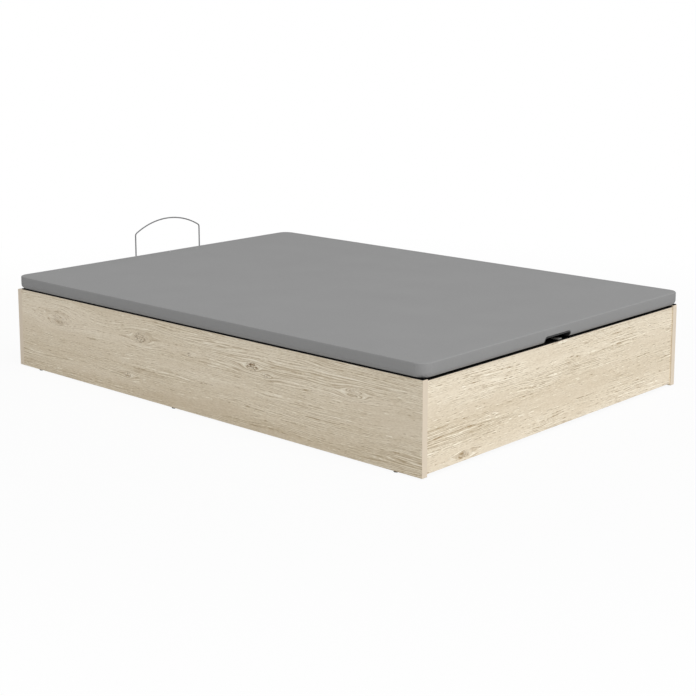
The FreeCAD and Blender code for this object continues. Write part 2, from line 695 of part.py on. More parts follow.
hinge_places = [((x, "0", "0"), FACING["z"]) for x in ("-hinge_spacing", "0", "hinge_spacing")]
lower_leaf = hinge_leaf("lower_leaf", "head_inner + leaf_panel_margin",
                        ("head_top", "head_top + leaf_thickness"), (0, 2, 4), "screw_gap", lower_leaf_holes)
upper_leaf = hinge_leaf("upper_leaf", "core_head - leaf_rail_reach",
                        ("lid_bottom - leaf_thickness", "lid_bottom"), (1, 3), "running_gap",
                        upper_leaf_holes)
hinge_pin = round_bar("hinge_pin", "x", "hinge_pin_radius", centred("hinge_length"), ("0", "0"))
doc.recompute()
node(copies("hinge_lower_leaves", lower_leaf, hinge_places), "hinge_lower_leaves")
node(copies("hinge_upper_leaves", upper_leaf, hinge_places), "hinge_upper_leaves")
pin_places = [((f"{x} - hinge_length / 2", "axis_y", "axis_z"), FACING["x"])
              for x in ("-hinge_spacing", "0", "hinge_spacing")]
node(copies("hinge_pins", hinge_pin, pin_places), "hinge_pins")

# Gas struts and what holds them.

def strut_eye(name, profile):
    """A turned neck with a ring across its top and the bore for the stud."""
    body = turned(name, profile)
    plane = next(item for item in body.Origin.OriginFeatures if item.Role == "YZ_Plane")
    for step, kind, radius in (("ring", "Pad", "eye_radius"),
                               ("bore", "Pocket", "stud_radius + running_gap")):
        sketch = body.newObject("Sketcher::SketchObject", f"{name}_{step}_circle")
        sketch.AttachmentSupport = [(plane, "")]
        sketch.MapMode = "FlatFace"
        sketch.addGeometry(Part.Circle(Vector(), Vector(0, 0, 1), number(radius)), False)
        sketch.addConstraint(Sketcher.Constraint("Coincident", 0, 3, -1, 1))
        reach = sketch.addConstraint(Sketcher.Constraint("Radius", 0, number(radius)))
        sketch.renameConstraint(reach, "reach")
        bind(sketch, "Constraints.reach", radius)
        feature = body.newObject(f"PartDesign::{kind}", f"{name}_{step}")
        feature.Profile = sketch
        bind(feature, "Length", "eye_width")
        feature.Midplane = True
        body.Tip = feature
        doc.recompute()
    return body


strut_turn = Rotation(Vector(1, 0, 0), number("strut_tilt"))
for side, sign in SIDES:
    lower = (f"{sign}strut_x", "lower_y", "lower_z")
    upper = (f"{sign}strut_x", "upper_y", "upper_z")
    tube = turned(f"strut_tube_{side}", [
        ("0", "tube_start"),
        ("tube_radius", "tube_start"),
        ("tube_radius", "tube_end"),
        ("tube_bore", "tube_end"),
        ("tube_bore", "tube_start + tube_floor"),
        ("0", "tube_start + tube_floor"),
    ])
    rounded(tube, "panel_round", lambda box: box.XLength > 2 * number("tube_bore") and level(box))
    node(place(tube, *lower, turn=strut_turn), f"strut_tube_{side}")
    gland = turned(f"strut_gland_{side}", rectangle(("rod_radius + running_gap", "tube_bore"),
                                                    ("tube_end - gland_length", "tube_end")))
    node(place(gland, *lower, turn=strut_turn), f"strut_gland_{side}")
    eye = strut_eye(f"strut_tube_eye_{side}", rectangle(("0", "eye_neck_radius"), ("0", "tube_start")))
    node(place(eye, *lower, turn=strut_turn), f"strut_tube_eye_{side}")
    rod = turned(f"strut_rod_{side}", rectangle(("0", "rod_radius"), ("rod_start", "rod_end")))
    node(place(rod, *lower, turn=strut_turn), f"strut_rod_{side}")
    piston = turned(f"strut_piston_{side}", rectangle(("0", "tube_bore - piston_gap"),
                                                      ("piston_start", "rod_start")))
    node(place(piston, *lower, turn=strut_turn), f"strut_piston_{side}")
    eye = strut_eye(f"strut_rod_eye_{side}", [
        ("0", "rod_entry - eye_neck_length"),
        ("rod_radius", "rod_entry - eye_neck_length"),
        ("rod_radius", "-eye_neck_length"),
        ("eye_neck_radius", "-eye_neck_length"),
        ("eye_neck_radius", "0"),
        ("0", "0"),
    ])
    node(place(eye, *upper, turn=strut_turn), f"strut_rod_eye_{side}")

    plate = padded(f"base_plate_form_{side}", "YZ_Plane",
                   rectangle(("lower_y - base_plate_foot_reach", "lower_y + base_plate_head_reach"),
                             ("lower_z - base_plate_below", "lower_z + base_plate_above")), "plate_thickness")
    rounded(plate, "plate_round", along_x)
    place(plate, across(sign, "inside - plate_thickness", "inside")[0])
    wall = "inside - plate_thickness"
    stud_end = "strut_x - eye_width / 2 - stud_side_gap"
    collar = round_bar(f"base_collar_{side}", "x", "stud_collar_radius",
                       across(sign, "strut_x + eye_width / 2 + stud_side_gap", wall), lower[1:])
    stud = round_bar(f"base_stud_{side}", "x", "stud_radius",
                     across(sign, f"{stud_end} - clip_thickness - stud_tail", wall), lower[1:])
    blank = join(f"base_plate_blank_{side}", [plate, collar, stud])
    node(cut(f"strut_base_plate_{side}", blank, [wood_holes]), f"strut_base_plate_{side}")

    web = "strut_x - lid_bracket_web"
    flange = block(f"bracket_flange_{side}",
                   across(sign, f"{web} - plate_thickness", "inside - lid_bracket_inset"),
                   ("upper_y - lid_bracket_length / 2", "upper_y + lid_bracket_length / 2"),
                   ("lid_bottom - plate_thickness", "lid_bottom"))
    tab = padded(f"bracket_tab_{side}", "YZ_Plane",
                 rectangle(("upper_y - lid_bracket_tab / 2", "upper_y + lid_bracket_tab / 2"),
                           ("upper_z - lid_bracket_below", "lid_bottom - plate_thickness")),
                 "plate_thickness")
    rounded(tab, "plate_round", lambda box: along_x(box) and box.ZMax < number("upper_z"))
    place(tab, across(sign, f"{web} - plate_thickness", web)[0])
    lid_stud_end = "strut_x + eye_width / 2 + stud_side_gap"
    collar = round_bar(f"bracket_collar_{side}", "x", "stud_collar_radius",
                       across(sign, web, stud_end), upper[1:])
    stud = round_bar(f"bracket_stud_{side}", "x", "stud_radius",
                     across(sign, web, f"{lid_stud_end} + clip_thickness + stud_tail"), upper[1:])
    blank = join(f"lid_bracket_blank_{side}", [flange, tab, collar, stud])
    node(cut(f"strut_lid_bracket_{side}", blank, [strut_screw_holes]), f"strut_lid_bracket_{side}")

clip = turned("clip", rectangle(("stud_radius + screw_gap", "clip_radius"), ("0", "clip_thickness")))
base_clip_x = "strut_x - eye_width / 2 - stud_side_gap - clip_thickness"
lid_clip_x = "strut_x + eye_width / 2 + stud_side_gap"
node(copies("strut_base_clips", clip, [
    ((f"-({base_clip_x})", "lower_y", "lower_z"), FACING["-x"]),
    ((base_clip_x, "lower_y", "lower_z"), FACING["x"]),
]), "strut_base_clips")
node(copies("strut_lid_clips", clip, [
    ((f"-({lid_clip_x})", "upper_y", "upper_z"), FACING["-x"]),
    ((lid_clip_x, "upper_y", "upper_z"), FACING["x"]),
]), "strut_lid_clips")

# Forms that the lid's pieces are cut from.

def soft_slab(name, inset):
    """The rounded form of the lid, or the form inside the cover."""
    body = padded(name, "XY_Plane",
                  rectangle((f"{inset} - lid_half", f"lid_half - {inset}"),
                            (f"lid_foot + {inset}", f"lid_head - {inset}")),
                  f"lid_top - lid_bottom - 2 * {inset}")
    rounded(body, f"lid_corner_radius - {inset}", upright)
    rounded(body, f"lid_edge_radius - {inset}", lambda box: level(box) and box.ZMin > 0)
    rounded(body, f"lid_bottom_radius - {inset}",
            lambda box: level(box) and box.ZMax < number("cover_thickness"))
    return place(body, z=f"lid_bottom + {inset}")


def cup_slab(name, inset):
    """The outside of the finger cup, or the space inside it."""
    body = padded(name, "XZ_Plane", rectangle(centred(f"cup_width - 2 * {inset}"),
                                              ("0", f"cup_height - {inset}")), f"cup_depth - {inset}")
    rounded(body, f"cup_corner_radius - {inset}", lambda box: along_y(box) and box.ZMin > 0)
    return place(body, "-cup_offset", f"cup_back - {inset}", "lid_bottom")


lid_form = soft_slab("lid_form", "0")
padding_form = soft_slab("padding_form", "cover_thickness")
cup_form = cup_slab("cup_form", "0")
cup_space = cup_slab("cup_space", "cup_wall")

# Lid frame and board.

rail_z = ("rail_bottom", "rail_top")
bore_z = ("rail_bottom + rail_wall", "rail_top - rail_wall")


def rail(name, axis, x, y, holes):
    """A frame tube, open at both ends along its axis."""
    slim = "{} + rail_wall", "{} - rail_wall"
    inner_x = x if axis == "x" else tuple(form.format(f"({text})") for form, text in zip(slim, x))
    inner_y = y if axis == "y" else tuple(form.format(f"({text})") for form, text in zip(slim, y))
    bore = block(name + "_bore", inner_x, inner_y, bore_z)
    return cut(name, block(name + "_bar", x, y, rail_z), [bore] + holes)


rail_inner = "core_half - rail_width"
for side, sign in SIDES:
    tube = rail(f"side_tube_{side}", "y", across(sign, rail_inner, "core_half"), ("core_foot", "core_head"),
                [strut_screw_holes])
    node(shared(f"frame_rail_{side}", tube, padding_form), f"frame_rail_{side}")
inner_x = (f"-({rail_inner})", rail_inner)
node(rail("frame_rail_foot", "x", inner_x, ("cup_back", "cup_back + rail_width"), []), "frame_rail_foot")
node(rail("frame_rail_head", "x", inner_x, ("core_head - rail_width", "core_head"), [upper_leaf_holes]),
     "frame_rail_head")
cross_rails = []
for at, y in enumerate(steps("cup_back", "core_head - rail_width", 5)[1:-1]):
    cross_rails.append(rail(f"cross_rail_{at}", "x", inner_x, (y, f"{y} + rail_width"), []))
node(group("frame_cross_rails", cross_rails), "frame_cross_rails")
panel = block("lid_board_blank", ("-core_half", "core_half"), ("core_foot", "core_head"),
              ("rail_top", "board_top"))
node(cut("lid_board", panel, [cup_screw_holes]), "lid_board")

# Padding, cover and finger cup.

socket_x = ("bow_offset - bow_half", "bow_offset + bow_half")
socket_middle = "(socket_bottom + socket_top) / 2"
stems = [round_bar(f"socket_stem_{at}", "y", "socket_stem_radius", ("core_head", "lid_head"),
                   (x, socket_middle))
         for at, x in enumerate(socket_x)]
opening = block("cover_opening", ("cover_hem - core_half", "core_half - cover_hem"),
                ("core_foot + cover_hem", "core_head - cover_hem"), ("lid_bottom", "rail_bottom"))
cover_holes = [padding_form, opening, cup_form, strut_screw_holes, upper_leaf_holes] + stems
node(cut("lid_cover", lid_form, cover_holes), "lid_cover")

pad_block = block("pad_block", ("-lid_half", "lid_half"), ("lid_foot", "lid_head"), ("board_top", "foam_top"))
node(shared("lid_foam", padding_form, pad_block), "lid_foam")
strip_z = ("rail_bottom", "board_top")
strips = []
for side, sign in SIDES:
    edge = block(f"edge_block_{side}", across(sign, "core_half", "lid_half"), ("lid_foot", "lid_head"),
                 strip_z)
    strips.append(shared(f"edge_strip_{side}", padding_form, edge))
edge = block("edge_block_head", ("-core_half", "core_half"), ("core_head", "lid_head"), strip_z)
strips.append(cut("edge_strip_head", shared("edge_bar_head", padding_form, edge), stems))
edge = block("edge_block_foot", ("-core_half", "core_half"), ("lid_foot", "core_foot"), strip_z)
strips.append(cut("edge_strip_foot", shared("edge_bar_foot", padding_form, edge), [cup_form]))
node(group("edge_padding_strips", strips), "edge_padding_strips")

cup_walls = cut("cup_walls", cup_form, [cup_space])
cup_pieces = [cup_walls]
for at, x in enumerate(steps("-cup_offset - cup_screw_spacing / 2",
                             "-cup_offset + cup_screw_spacing / 2", 2)):
    cup_pieces.append(round_bar(f"cup_boss_{at}", "z", "cup_boss_radius", ("cup_ceiling", "rail_top"),
                                (x, "lid_foot + cup_depth / 2")))
for at, x in enumerate((("tab_middle - lug_outer", "tab_middle - lug_inner"),
                        ("tab_middle + lug_inner", "tab_middle + lug_outer"))):
    cup_pieces.append(block(f"cup_lug_{at}", x,
                            ("tab_pin_y - lug_half_length", "tab_pin_y + lug_half_length"),
                            ("tab_bottom", "cup_ceiling")))
pin_x = ("tab_middle - lug_outer", "tab_middle + lug_outer")
pin_hole = round_bar("tab_pin_hole", "x", "tab_pin_radius + screw_gap", pin_x, ("tab_pin_y", "tab_pin_z"))
cup_blank = cut("cup_blank", join("cup_joined", cup_pieces), [cup_screw_holes, pin_hole])
node(shared("finger_cup", cup_blank, lid_form), "finger_cup")
node(round_bar("pull_tab_pin", "x", "tab_pin_radius", pin_x, ("tab_pin_y", "tab_pin_z")), "pull_tab_pin")

tab_x = ("tab_middle - tab_width / 2", "tab_middle + tab_width / 2")
tab_lip_y = "lid_foot + tab_lip_radius"
tab_pieces = [
    block("tab_plate", tab_x, (tab_lip_y, "tab_pin_y"), ("tab_bottom", "tab_bottom + tab_thickness")),
    round_bar("tab_barrel", "x", "tab_barrel_radius", tab_x, ("tab_pin_y", "tab_pin_z")),
    round_bar("tab_lip", "x", "tab_lip_radius", tab_x, (tab_lip_y, "tab_bottom + tab_lip_radius")),
]
tab_bore = round_bar("tab_bore", "x", "tab_pin_radius + running_gap", tab_x, ("tab_pin_y", "tab_pin_z"))
node(cut("pull_tab", join("tab_joined", tab_pieces), [tab_bore]), "pull_tab")

# Mattress stop.

def bow_wire():
    """Two legs, two bends and an arch, swept with the wire's circle."""
    half = number("bow_half")
    arch = number("bow_radius")
    bend = number("bow_bend_radius")
    crown = Vector(0, 0, number("bow_top - bow_wire_radius"))
    centre = crown - Vector(0, 0, arch)
    start = Vector(-half, 0, number("socket_bottom + bow_leg_tail"))
    hub = centre + Vector(bend - half, 0, ((arch - bend) ** 2 - (half - bend) ** 2) ** 0.5)
    leg_end = hub - Vector(bend, 0, 0)
    outward = (hub - centre).normalize()
    arch_start = hub + outward * bend
    bend_middle = hub + (outward - Vector(1, 0, 0)).normalize() * bend
    left = [leg_end, bend_middle, arch_start]
    right = [Vector(-point.x, 0, point.z) for point in reversed(left)]
    curves = [
        Part.LineSegment(start, leg_end),
        Part.Arc(*left),
        Part.Arc(arch_start, crown, right[0]),
        Part.Arc(*right),
        Part.LineSegment(right[-1], Vector(-start.x, 0, start.z)),
    ]
    path = Part.Wire([curve.toShape() for curve in curves])
    ring = Part.Wire(Part.makeCircle(number("bow_wire_radius"), start, Vector(0, 0, 1)))
    return path.makePipeShell([ring], True, False)


bow = doc.addObject("Part::Feature", "mattress_stop_bow")
bow.Shape = bow_wire()
node(place(bow, "bow_offset", "bow_y"), "mattress_stop_bow")

sockets = []
clamps = []
for at, x in enumerate(socket_x):
    body = padded(f"socket_body_{at}", "XY_Plane", rectangle(centred("socket_width"), ("0", "socket_depth")),
                  "socket_height")
    rounded(body, "socket_round", lambda box: box.YMax > 0)
    place(body, x, "lid_head", "socket_bottom")
    bore = round_bar(f"socket_bore_{at}", "z", "bow_wire_radius + screw_gap",
                     ("socket_bottom + bow_leg_tail", "socket_top"), (x, "bow_y"))
    clamp_y = ("bow_y + bow_wire_radius", "bow_y + bow_wire_radius + clamp_screw_length")
    clamp_hole = round_bar(f"clamp_hole_{at}", "y", "clamp_screw_radius + screw_gap", clamp_y,
                           (x, socket_middle))
    sockets.append(cut(f"socket_{at}", join(f"socket_blank_{at}", [body, stems[at]]), [bore, clamp_hole]))
    clamps.append(round_bar(f"clamp_{at}", "y", "clamp_screw_radius", clamp_y, (x, socket_middle)))
node(group("bow_sockets", sockets), "bow_sockets")
node(group("bow_clamp_screws", clamps), "bow_clamp_screws")

doc.recompute()
for item in doc.Objects:
    if "Invalid" in item.State or "Error" in item.State:
        raise RuntimeError(f"{item.Label}: {item.State}")
for name, item in nodes.items():
    if item.Shape.isNull() or not item.Shape.isValid():
        raise RuntimeError(f"{name} has no valid shape")
    item.Shape.exportStep(f"parts/{name}.step")
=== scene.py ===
"""A lift-up storage bed base: finishes and soft pieces around the packed model."""

import math
from typing import NamedTuple

import bmesh
import bpy
from bpy.props import FloatProperty, FloatVectorProperty, IntProperty, PointerProperty
from mathutils import Matrix, Vector, noise


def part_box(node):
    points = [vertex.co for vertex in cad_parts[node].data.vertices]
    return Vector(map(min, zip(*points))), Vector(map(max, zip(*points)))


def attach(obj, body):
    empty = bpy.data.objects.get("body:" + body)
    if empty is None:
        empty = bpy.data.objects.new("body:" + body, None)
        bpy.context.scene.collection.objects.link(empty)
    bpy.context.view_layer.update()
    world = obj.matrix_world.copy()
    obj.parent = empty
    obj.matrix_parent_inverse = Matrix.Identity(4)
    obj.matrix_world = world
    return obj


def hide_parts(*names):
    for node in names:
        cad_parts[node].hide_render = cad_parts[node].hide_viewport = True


bl_info = {
    "name": "Storage bed dressing",
    "version": (1, 0, 0),
    "blender": (4, 5, 0),
    "location": "View3D > Sidebar > Bed",
    "description": "Upholsters the lid, finishes every piece of the bed base and sets the stage",
    "category": "Object",
}

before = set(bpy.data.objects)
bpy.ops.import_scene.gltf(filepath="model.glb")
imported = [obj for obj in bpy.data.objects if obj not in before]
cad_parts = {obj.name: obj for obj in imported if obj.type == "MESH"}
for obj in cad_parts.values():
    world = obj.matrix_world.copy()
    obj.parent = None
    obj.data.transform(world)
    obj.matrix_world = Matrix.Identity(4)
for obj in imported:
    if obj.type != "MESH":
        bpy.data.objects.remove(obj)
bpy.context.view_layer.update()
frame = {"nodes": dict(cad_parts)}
NODES = frame["nodes"]
LID_LOW, LID_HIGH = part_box("lid_cover")
CUP_LOW, CUP_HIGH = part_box("finger_cup")
PANEL_LOW, PANEL_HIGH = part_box("side_panel_left")
# Fittings under the lid that leave no room for staples
HEM_FITTINGS = ("finger_cup", "strut_lid_bracket_left", "strut_lid_bracket_right")

MILLIMETRE = 0.001
# Heights that differ by less than this are the same
CLOSE = 1e-5
SMOOTH_ANGLE = math.radians(40)
# A face whose normal falls below this looks down
DOWNWARD = -0.99
# The slice through the noise that makes the pad uneven
DIMPLE_SLICE = 0.3
# How far a cutter stands out of what it cuts
PAST = 10 * MILLIMETRE
SENSOR_WIDTH = 36
WHITE = (1, 1, 1, 1)
# Noise keeps near its middle: these of its values count as none and as full
NOISE_ENDS = (0.3, 0.7)


class Knot(NamedTuple):
    """A knot in a panel: where it is, how thick it is and how dark its heart is."""
    run: float
    height: float
    girth: float
    darkness: float


class Band(NamedTuple):
    """A soft band along a panel: how high it lies, how far it reaches up and down, how much paler it is."""
    height: float
    reach: float
    paler: float


class Layer(NamedTuple):
    """A noise drawn out along the grain: cells to a metre both ways, and its place in the noise.

    A straight one keeps level; the others flow round the knots.
    """
    along: float
    across: float
    shift: float
    detail: float = 2.0
    roughness: float = 0.5
    straight: bool = False


class Lines(NamedTuple):
    """Thin grain lines: how many to a metre, how they wander and break off, how strong they are."""
    rate: float
    wander: float
    drift: Layer
    breaks: Layer
    hold: float
    dark: float
    pale: float


LEFT_KNOTS = (
    Knot(0.711, 0.206, 0.026, 0.35),
    Knot(0.26, 0.212, 0.019, 1.0),
    Knot(-0.272, 0.209, 0.016, 1.0),
    Knot(-0.334, 0.19, 0.009, 0.6),
    Knot(0.02, 0.197, 0.007, 0.6),
    Knot(0.33, 0.075, 0.012, 0.6),
    Knot(-0.693, 0.201, 0.017, 0.2),
)
RIGHT_KNOTS = (
    Knot(0.52, 0.17, 0.024, 0.5),
    Knot(-0.18, 0.11, 0.014, 0.8),
    Knot(-0.7, 0.22, 0.028, 0.4),
)
FOOT_KNOTS = (Knot(-0.482, 0.03, 0.012, 0.35), Knot(-0.351, 0.121, 0.006, 0.6))
HEAD_KNOTS = (Knot(-0.3, 0.19, 0.024, 0.5), Knot(0.37, 0.1, 0.012, 0.7))
LEFT_BANDS = (Band(0.05, 0.11, -0.33), Band(0.23, 0.1, 0.1))
RIGHT_BANDS = (Band(0.19, 0.08, -0.25), Band(0.07, 0.07, 0.1))
FOOT_BANDS = (Band(0.275, 0.1, 0.3), Band(0.125, 0.05, -0.2), Band(0.03, 0.06, 0.25))
HEAD_BANDS = (Band(0.1, 0.08, -0.25), Band(0.25, 0.07, 0.1))

# Distance along the grain counts this much beside distance across it, at a knot and in its heart
KNOT_STRETCH = 0.3
HEART_STRETCH = 0.54
# Nearness at which the heart of a knot begins to show and is full
HEART_FADE = (0.4, 1.3)
# A heart is scribbled over: the folds of a noise, and where in a fold the strokes lie
SCRIBBLE = Layer(70.0, 110.0, 0.0, detail=3.0, roughness=0.65, straight=True)
SCRIBBLE_FOLDS = 3.0
SCRIBBLE_STROKE = (0.44, 0.14)

# Slow waves of the whole grain, then the streaks and hairs that give its tone
WAVE = Layer(1.6, 4.0, 0.0, straight=True)
PATCH = Layer(1.5, 10.0, 0.0, detail=3.0, roughness=0.6)
STREAK = Layer(0.4, 40.0, 2.3)
FIBRE = Layer(30.0, 180.0, 1.7, detail=3.0, roughness=0.7)
HAIR = Layer(90.0, 270.0, 4.1, straight=True)
DENSITY = Layer(2.4, 14.0, 5.3, detail=3.0)
TONES = ((PATCH, 0.3), (STREAK, 0.27), (FIBRE, 0.24), (HAIR, 0.36))
# Density at which a patch begins to blush and is fully blushed, and how strongly
BLUSH_FADE = (0.6, 0.35)
BLUSH = 0.3

COARSE = Lines(rate=95.0, wander=5.0, drift=Layer(1.8, 32.0, 7.9, detail=4.0),
               breaks=Layer(34.0, 95.0, 3.1, detail=3.0, roughness=0.65, straight=True),
               hold=0.52, dark=0.35, pale=0.3)
FINE = Lines(rate=185.0, wander=8.0, drift=Layer(1.8, 32.0, 13.1, detail=4.0),
             breaks=Layer(60.0, 160.0, 17.3, straight=True),
             hold=0.55, dark=0.68, pale=0.85)
# Lines crowd where the wood is dense and beside knots: what each adds, and how near a knot that is
CROWDING = 0.46
KNOT_CROWDING = 0.06
KNOT_REACH = (0.1, 0.5)
# Crowding at which a line begins to show and is full
LINE_GATE = (0.46, 0.6)
# Where in a ripple, from 0 to a half, the dark line and the pale line lie
DARK_RIPPLE = (0.2, 0.02)
PALE_RIPPLE = (0.3, 0.48)
# The fibres make the wood duller here and glossier there, and stand out of it
WOOD_ROUGHNESS = (0.42, 0.6)
WOOD_RELIEF = 0.15 * MILLIMETRE
WOOD_RELIEF_STRENGTH = 0.5

# An even finish varies its roughness by this share, and its relief is this much finer than its tone
ROUGHNESS_SPREAD = 0.15
RELIEF_RATE = 9

# Three crossed waves make the weave: their sum at which a thread is fully raised
WEAVE_REACH = 1.6
# Thick places in the threads and soft clouds, in cells to a metre, and what each adds to the tone
SLUB_RATE = 140.0
CLOUD_RATE = 9.0
THREAD_TONE = 0.4
SLUB_TONE = 0.4
CLOUD_TONE = 0.2
# How far slubs stand out beside threads, and how deep the weave is
SLUB_HEIGHT = 0.6
WEAVE_RELIEF = 0.35 * MILLIMETRE
WEAVE_RELIEF_STRENGTH = 0.6


def colour(name, words, default):
    """A colour as it shows on screen."""
    return FloatVectorProperty(name=name, description=words, subtype="COLOR_GAMMA", size=3, min=0, max=1,
                               default=[part / 255 for part in default])


def length(name, words, default):
    """A length in metres."""
    return FloatProperty(name=name, description=words, unit="LENGTH", default=default)


def position(name, words, default):
    """A place in metres."""
    return FloatVectorProperty(name=name, description=words, subtype="TRANSLATION", unit="LENGTH",
                               default=default)


def angle(name, words, default):
    """An angle in radians."""
    return FloatProperty(name=name, description=words, subtype="ANGLE", default=default)


class OakLook(bpy.types.PropertyGroup):
    """The oak-look panels."""
    pale: colour("Pale", "Lightest streaks", (241, 230, 209))
    dark: colour("Dark", "Darker streaks", (203, 187, 158))
    blush: colour("Blush", "Warmer patches", (220, 204, 181))
    pore: colour("Pore", "Short dashes of open grain", (158, 134, 98))
    glint: colour("Glint", "Pale lines between the dashes", (255, 247, 229))
    knot: colour("Knot", "Heart of a knot", (118, 94, 64))
    band: colour("Edge band", "Tape on the panel edges", (222, 208, 188))


class PineLook(bpy.types.PropertyGroup):
    """The bare pine of the cleats and the stretcher."""
    pale: colour("Pale", "Lightest streaks", (236, 211, 166))
    dark: colour("Dark", "Darker streaks", (212, 176, 122))
    blush: colour("Blush", "Warmer patches", (224, 186, 134))
    pore: colour("Pore", "Short dashes of open grain", (176, 132, 82))
    glint: colour("Glint", "Pale lines between the dashes", (244, 222, 180))


class ClothLook(bpy.types.PropertyGroup):
    """The grey cloth on the lid."""
    light: colour("Light thread", "Raised threads", (156, 156, 156))
    shade: colour("Shaded thread", "Threads between", (142, 142, 142))
    pitch: length("Weave pitch", "Distance between threads", 0.0018)


class EvenLook(bpy.types.PropertyGroup):
    """Boards, metals, plastics and the black rest strips, each of one colour; the strips' near black is
    partly their own and partly painted shade for the gap under the lid.
    """
    hardboard: colour("Hardboard", "Bottom boards", (212, 209, 201))
    strip: colour("Joint strip", "Strip between the bottom boards", (219, 219, 214))
    fibreboard: colour("Fibreboard", "Board of the lid", (158, 128, 94))
    frame: colour("Frame paint", "Steel frame of the lid", (51, 51, 54))
    zinc: colour("Zinc", "Brackets, hinges and screws", (179, 180, 181))
    staple: colour("Staple steel", "Staples along the hem", (189, 189, 191))
    tube: colour("Tube paint", "Tubes of the gas struts", (31, 31, 32))
    chrome: colour("Chrome", "Rods of the gas struts", (219, 222, 224))
    nylon: colour("Nylon", "Glands and eyes of the gas struts", (38, 38, 38))
    cup: colour("Cup plastic", "Finger cup", (36, 36, 37))
    tab: colour("Tab plastic", "Pull tab", (107, 105, 102))
    pin: colour("Pin steel", "Pin of the pull tab and screws of the cup", (179, 179, 181))
    bow: colour("Bow steel", "Wire of the mattress stop", (120, 120, 122))
    socket: colour("Socket steel", "Sockets of the mattress stop", (115, 115, 117))
    glide: colour("Glide plastic", "Floor glides and centre foot", (33, 33, 33))
    # Near black: partly the strips' own colour, partly painted shade that stands for the dark gap under the
    # lid
    rubber: colour("Rubber", "Rest strips under the lid", (5, 5, 5))


class LidShape(bpy.types.PropertyGroup):
    """The upholstered lid."""
    corner: length("Corner radius", "Rounding of the plan corners", 0.04)
    edge: length("Top radius", "Rounding of the top edge", 0.004)
    lower_edge: length("Bottom radius", "Rounding of the bottom edge", 0.016)
    cloth: length("Cloth thickness", "Cover with its backing", 0.002)
    hem: length("Hem", "Outside of the lid to the inner edge of the hem", 0.059)
    grid: length("Grid", "Spacing of the lines that let the pad sink", 0.045)
    roll: length("Roll-off", "How far the pad sinks along its edge", 0.0006)
    roll_reach: length("Roll-off reach", "Width of the sunk border", 0.05)
    dimple: length("Dimple", "Unevenness of the foam", 0.0005)
    dimple_rate: FloatProperty(name="Dimple rate", description="Dimples to a metre", default=7.0)
    cup_height: length("Notch height", "Height of the notch for the finger cup", 0.0218)
    cup_corner: length("Notch corner", "Rounding of the notch for the finger cup", 0.012)
    edge_steps: IntProperty(name="Edge steps", description="Facets across a rounded edge", default=6)


class StapleShape(bpy.types.PropertyGroup):
    """The staples along the hem."""
    crown: length("Crown", "Length of a staple", 0.011)
    wire: length("Wire", "Thickness of the wire", 0.0012)
    pitch: length("Pitch", "Distance between staples", 0.06)
    margin: length("Margin", "Staples from the inner edge of the hem", 0.01)


class StageLook(bpy.types.PropertyGroup):
    """Camera, light and floor."""
    eye: position("Eye", "Camera position", (-3.6553, -3.404, 1.3186))
    heading: angle("Heading", "Camera turned from the head end towards the right", 0.8278)
    dip: angle("Dip", "Camera tilted below level", 0.1675)
    lens: FloatProperty(name="Lens", description="Focal length", unit="CAMERA", default=74.92)
    shift: FloatProperty(name="Shift", description="Frame moved up, as a share of its size", default=-0.15)
    key_place: position("Key place", "Middle of the key light", (-3.2, -14.8, 19.6))
    key_aim: position("Key aim", "Where the key light points", (0, 0, 0.2))
    key_size: length("Key size", "Side of the key light", 18)
    key_power: FloatProperty(name="Key power", description="Power of the key light", unit="POWER",
                             default=4040)
    sky: FloatProperty(name="Sky", description="Strength of the even light", default=0.52)
    floor_size: length("Floor size", "Side of the floor", 60)
    paper: colour("Paper", "White paper on the floor", (219, 219, 219))
    shadow: FloatProperty(name="Shadow", description="Share of the shadow that the floor keeps",
                          subtype="FACTOR", default=0.07)
    fade_start: length("Fade start", "Distance from the middle at which the shadow begins to fade", 1.4)
    fade_end: length("Fade end", "Distance from the middle at which the floor is white", 3.2)


def linear(shown):
    """A screen colour as the shader wants it."""
    parts = [part / 12.92 if part <= 0.04045 else ((part + 0.055) / 1.055) ** 2.4 for part in shown]
    return (*parts, 1)


